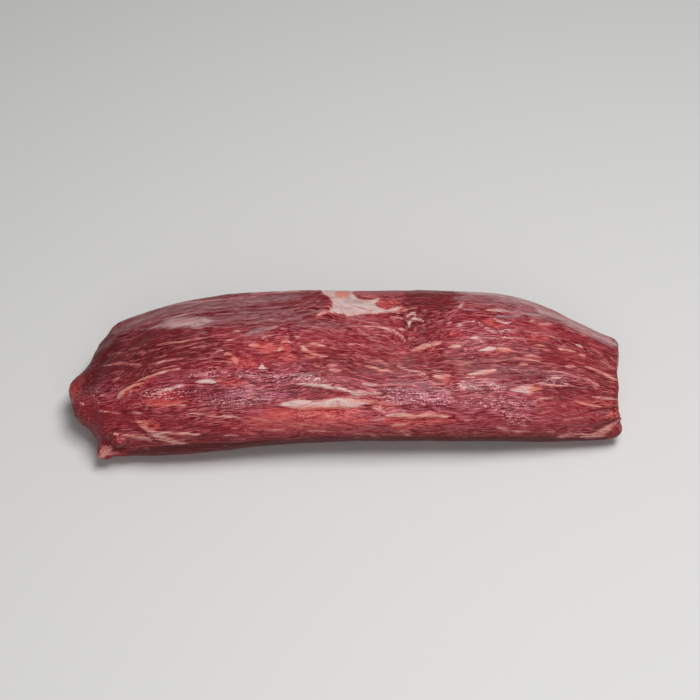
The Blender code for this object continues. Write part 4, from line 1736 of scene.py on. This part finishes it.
# Wet places: more coat and bump, and pale specks that are partly painted glints.
GLISTENING_PLACES = brush(
    WET,
    (5.0, 0.25, (134, 392), (200, 386), (280, 384), (340, 386)),
    (6.0, 0.18, (376, 396), (430, 400), (490, 404), (556, 402)),
    (4.0, 0.18, (450, 386), (490, 388), (530, 384), (570, 386)),
    (2.6, 0.9, (140, 393), (165, 393), (195, 391)),
    (1.6, 1.2, (163, 396), (171, 396.5), (178, 397)),
    (2.2, 0.8, (190, 377), (206, 373), (226, 372)),
    (1.6, 1.1, (240, 374), (250, 374.5)),
    (2.6, 0.9, (254, 375), (270, 378), (290, 379)),
    (1.8, 1.1, (284, 376), (296, 376), (312, 378.5), (324, 381)),
    (3.0, 0.8, (208, 402), (236, 402), (268, 401)),
    (3.0, 0.45, (190, 392), (220, 394), (262, 393), (300, 392)),
    (3.0, 0.5, (84, 388), (100, 392), (122, 390)),
    (4.5, 0.85, (378, 394), (415, 396), (452, 401)),
    (3.4, 0.75, (462, 402), (500, 404), (535, 403)),
    (3.0, 0.8, (500, 412), (515, 418), (530, 420)),
    (1.8, 1.2, (488, 386), (496, 387), (504, 388)),
    (2.4, 0.8, (456, 384), (470, 386), (484, 392)),
    (1.8, 0.7, (540, 384), (555, 382), (568, 383)),
    (2.0, 0.9, (494, 331.5), (503, 333), (512, 332)),
    (2.4, 0.4, (290, 416), (330, 416), (370, 412)),
    (2.5, 0.5, (112, 434), (120, 440)),
    (2.0, 0.5, (330, 402), (345, 404), (360, 404)),
)
STROKES = (
    CROWN_BITS + CROWN_WARMTH + CROWN_SHEEN + DARK_AND_SHADED_PLACES + UPPER_SKIN_AND_SHEEN + UPPER_STREAKS + LEFT_STREAKS
    + PADS + WARM_PLACES + MIDDLE_FLECKS + HAIRLINES + SEAMS + LOW_STREAKS + WHITE_GLINT
    + RIGHT_FLECKS + DIMPLE_BITS + RIGHT_SKIN + PALE_PLACES + MAUVE_PLACES + GLISTENING_PLACES
)

FAT_AREAS = fill(
    FAT,
    (0.9, 1.1, *CROWN_FAT),
    (1.2, 1.0, *SEAM_WEDGE),
    (1.2, 0.95, *SEAM_FAN),
    (1.0, 0.95, *RIGHT_PAD),
    (0.6, 1.1, *LONG_PAD),
    (0.6, 1.1, *SHORT_PAD),
    (0.6, 0.95, *SKIN_LENS),
    (0.6, 1.0, *PALE_LENS),
    (0.6, 0.95, *FORWARD_PAD),
    (0.6, 1.15, *WHITE_SPOT),
    (0.8, 0.85, *END_STRIPE),
    (0.8, 0.82, *LOW_WEDGE),
    (0.8, 0.8, *TAG),
)
WHITE_AREAS = fill(
    WHITE,
    (0.8, 1.3, *CROWN_FAT),
    (2.1, 0.8, (262, 380), (376, 380), (392, 400), (380, 410), (262, 412)),
    (1.3, 0.8, (150, 376), (222, 374), (222, 388), (150, 396)),
    (1.3, 0.8, (160, 300), (300, 288), (300, 296), (160, 312)),
    (2.0, 0.7, (452, 300), (530, 300), (530, 335), (452, 335)),
    (1.5, 0.8, (470, 335), (496, 340), (496, 356), (470, 356)),
    (1.5, 0.7, (464, 366), (484, 364), (484, 378), (464, 378)),
    (1.5, 0.7, (505, 380), (528, 378), (530, 396), (505, 396)),
    (1.0, 0.9, (255, 362), (268, 362), (268, 371), (255, 371)),
    (1.5, 0.8, (396, 308), (428, 308), (428, 326), (396, 332)),
)
SKIN_AREAS = fill(
    SILVER,
    (0.8, 0.5, *SKIN_LENS),
    (1.8, 1.05, *SKIN_PATCH),
)
WARM_AREAS = fill(
    WARM,
    (1.2, 0.3, *END_STRIPE),
    (3.0, 0.5, (342, 353), (402, 351), (404, 370), (342, 372)),
    (4.0, 0.35, (455, 354), (562, 354), (562, 371), (455, 371)),
)
DARK_AND_SHADED_AREAS = fill(
    DARK,
    # The darker left end: partly darker meat, partly painted shade where the end turns from the light.
    (6.7, 1.15, (60, 340), (130, 325), (200, 328), (232, 352), (150, 376), (100, 386), (60, 382)),
    # Painted shade: darker towards the bottom, more so on the left.
    (5.0, 0.45, (60, 400), (100, 404), (140, 412), (240, 425), (240, 460), (60, 470)),
    (2.5, 0.5, (90, 440), (200, 434), (330, 430), (640, 430), (640, 450), (330, 450), (90, 470)),
    (3.4, 0.6, (150, 308), (250, 292), (330, 290), (334, 300), (316, 326), (240, 334), (160, 334)),
    (2.5, 0.85, (402, 288), (462, 290), (444, 318), (424, 340), (404, 330)),
    (3.4, 0.5, (290, 350), (350, 348), (440, 352), (512, 350), (512, 376), (400, 378), (290, 370)),
    # Painted shade: darker over the right shoulder.
    (5.0, 0.65, (500, 342), (616, 342), (626, 412), (560, 402), (500, 380)),
)
PALE_AREAS = fill(
    PALE,
    (2.0, 0.9, (232, 410), (300, 410), (460, 412), (606, 410), (600, 434), (460, 435), (300, 436),
     (232, 436)),
    (1.5, 1.4, (338, 396), (400, 396), (400, 420), (338, 420)),
    (2.5, 0.8, (400, 394), (600, 400), (600, 418), (400, 416)),
    (5.0, 0.5, (230, 396), (380, 390), (520, 396), (560, 404), (460, 416), (240, 412)),
    (5.0, 0.5, (455, 300), (560, 312), (560, 350), (455, 350)),
    (3.4, 0.25, (140, 384), (300, 368), (330, 384), (220, 396), (140, 400)),
)
SMOOTH_AREAS = fill(
    FILM,
    (3.4, 0.85, (66, 392), (90, 402), (118, 404), (140, 408), (180, 416), (184, 430), (130, 432),
     (128, 448), (100, 458), (84, 430), (66, 412)),
    (1.3, 0.8, (140, 398), (188, 399), (188, 406), (142, 405)),
    (3.0, 0.7, (262, 410), (300, 412), (356, 411), (372, 414), (372, 432), (300, 434), (250, 430)),
    (3.0, 0.55, (184, 418), (250, 422), (262, 432), (230, 440), (180, 440)),
    (3.0, 0.75, (404, 290), (456, 290), (452, 300), (432, 318), (412, 318)),
    (3.0, 0.65, (536, 400), (612, 401), (606, 426), (540, 424)),
    (2.0, 0.6, (524, 353), (566, 355), (566, 369), (524, 367)),
    (3.0, 0.4, (560, 330), (616, 350), (617, 374), (582, 356)),
    (3.0, 0.5, (360, 420), (560, 420), (560, 434), (360, 434)),
    (2.4, 0.55, (228, 340), (256, 340), (330, 340), (336, 362), (300, 364), (228, 366)),
    (1.5, 0.4, (346, 318), (400, 320), (400, 326), (346, 326)),
    (5.0, 0.4, (90, 345), (140, 335), (210, 338), (215, 365), (150, 376), (100, 380)),
    (2.5, 0.5, (90, 436), (200, 440), (620, 434), (620, 450), (90, 470)),
)
MARBLED_AREAS = fill(
    MARBLE,
    (5.0, 1.0, (210, 325), (330, 330), (340, 372), (210, 372)),
    (5.9, 0.9, (430, 315), (620, 330), (620, 410), (430, 395)),
)
PATCHES = (
    FAT_AREAS + WHITE_AREAS + SKIN_AREAS + WARM_AREAS
    + DARK_AND_SHADED_AREAS + PALE_AREAS + SMOOTH_AREAS + MARBLED_AREAS
)


@dataclass(frozen=True)
class SoftBox:
    """A flat lamp that points at the muscle."""

    name: str
    place: tuple[float, float, float]
    width: float
    depth: float
    power: float

    def build(self) -> None:
        """Builds the lamp."""
        data = bpy.data.lights.new(self.name, "AREA")
        data.shape = "RECTANGLE"
        data.size, data.size_y, data.energy = self.width, self.depth, self.power
        lamp = bpy.data.objects.new(self.name, data)
        lamp.location = self.place
        lamp.rotation_euler = (-Vector(self.place)).to_track_quat("-Z", "Y").to_euler()
        bpy.context.scene.collection.objects.link(lamp)


@dataclass(frozen=True)
class Studio:
    """A pale floor, soft lamps and a pale surround."""

    floor_size: float = 6.0
    floor_colour: Colour = srgb(214, 213, 211)
    surround: Colour = srgb(200, 202, 206)
    surround_strength: float = 0.22
    lamps: tuple[SoftBox, ...] = (
        SoftBox("top lamp", (0.22, -0.12, 0.90), 0.60, 0.35, 7.4),
        SoftBox("front lamp", (0.06, -0.95, 0.70), 0.9, 0.6, 3.3),
    )

    def build(self) -> None:
        """Builds the floor, the lamps and the surround."""
        activate(None)
        bpy.ops.mesh.primitive_plane_add(size=self.floor_size)
        floor = bpy.context.object
        floor.name = floor.data.name = "floor"
        graph = Graph("floor")
        sockets = {"Base Color": self.floor_colour, "Roughness": 0.7}
        shader = graph.node("ShaderNodeBsdfPrincipled", None, sockets)
        graph.node("ShaderNodeOutputMaterial", None, {"Surface": shader})
        floor.data.materials.append(graph.material)
        for lamp in self.lamps:
            lamp.build()
        world = bpy.data.worlds.new("surround")
        bpy.context.scene.world = world
        world.use_nodes = True
        back = world.node_tree.nodes["Background"]
        back.inputs["Color"].default_value = self.surround
        back.inputs["Strength"].default_value = self.surround_strength
        bpy.context.scene.view_settings.view_transform = "Standard"


def main() -> None:
    """Builds the muscle round the frame, then the studio and the camera."""
    logging.basicConfig(level=logging.INFO, format="%(message)s")
    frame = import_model()
    muscle = Muscle()
    piece = muscle.build(frame["nodes"][NODE])
    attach(piece, "root")
    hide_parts(NODE)
    LOG.info("muscle: %d faces", len(piece.data.polygons))
    Studio().build()
    muscle.picture.camera()


if __name__ == "__main__":
    main()
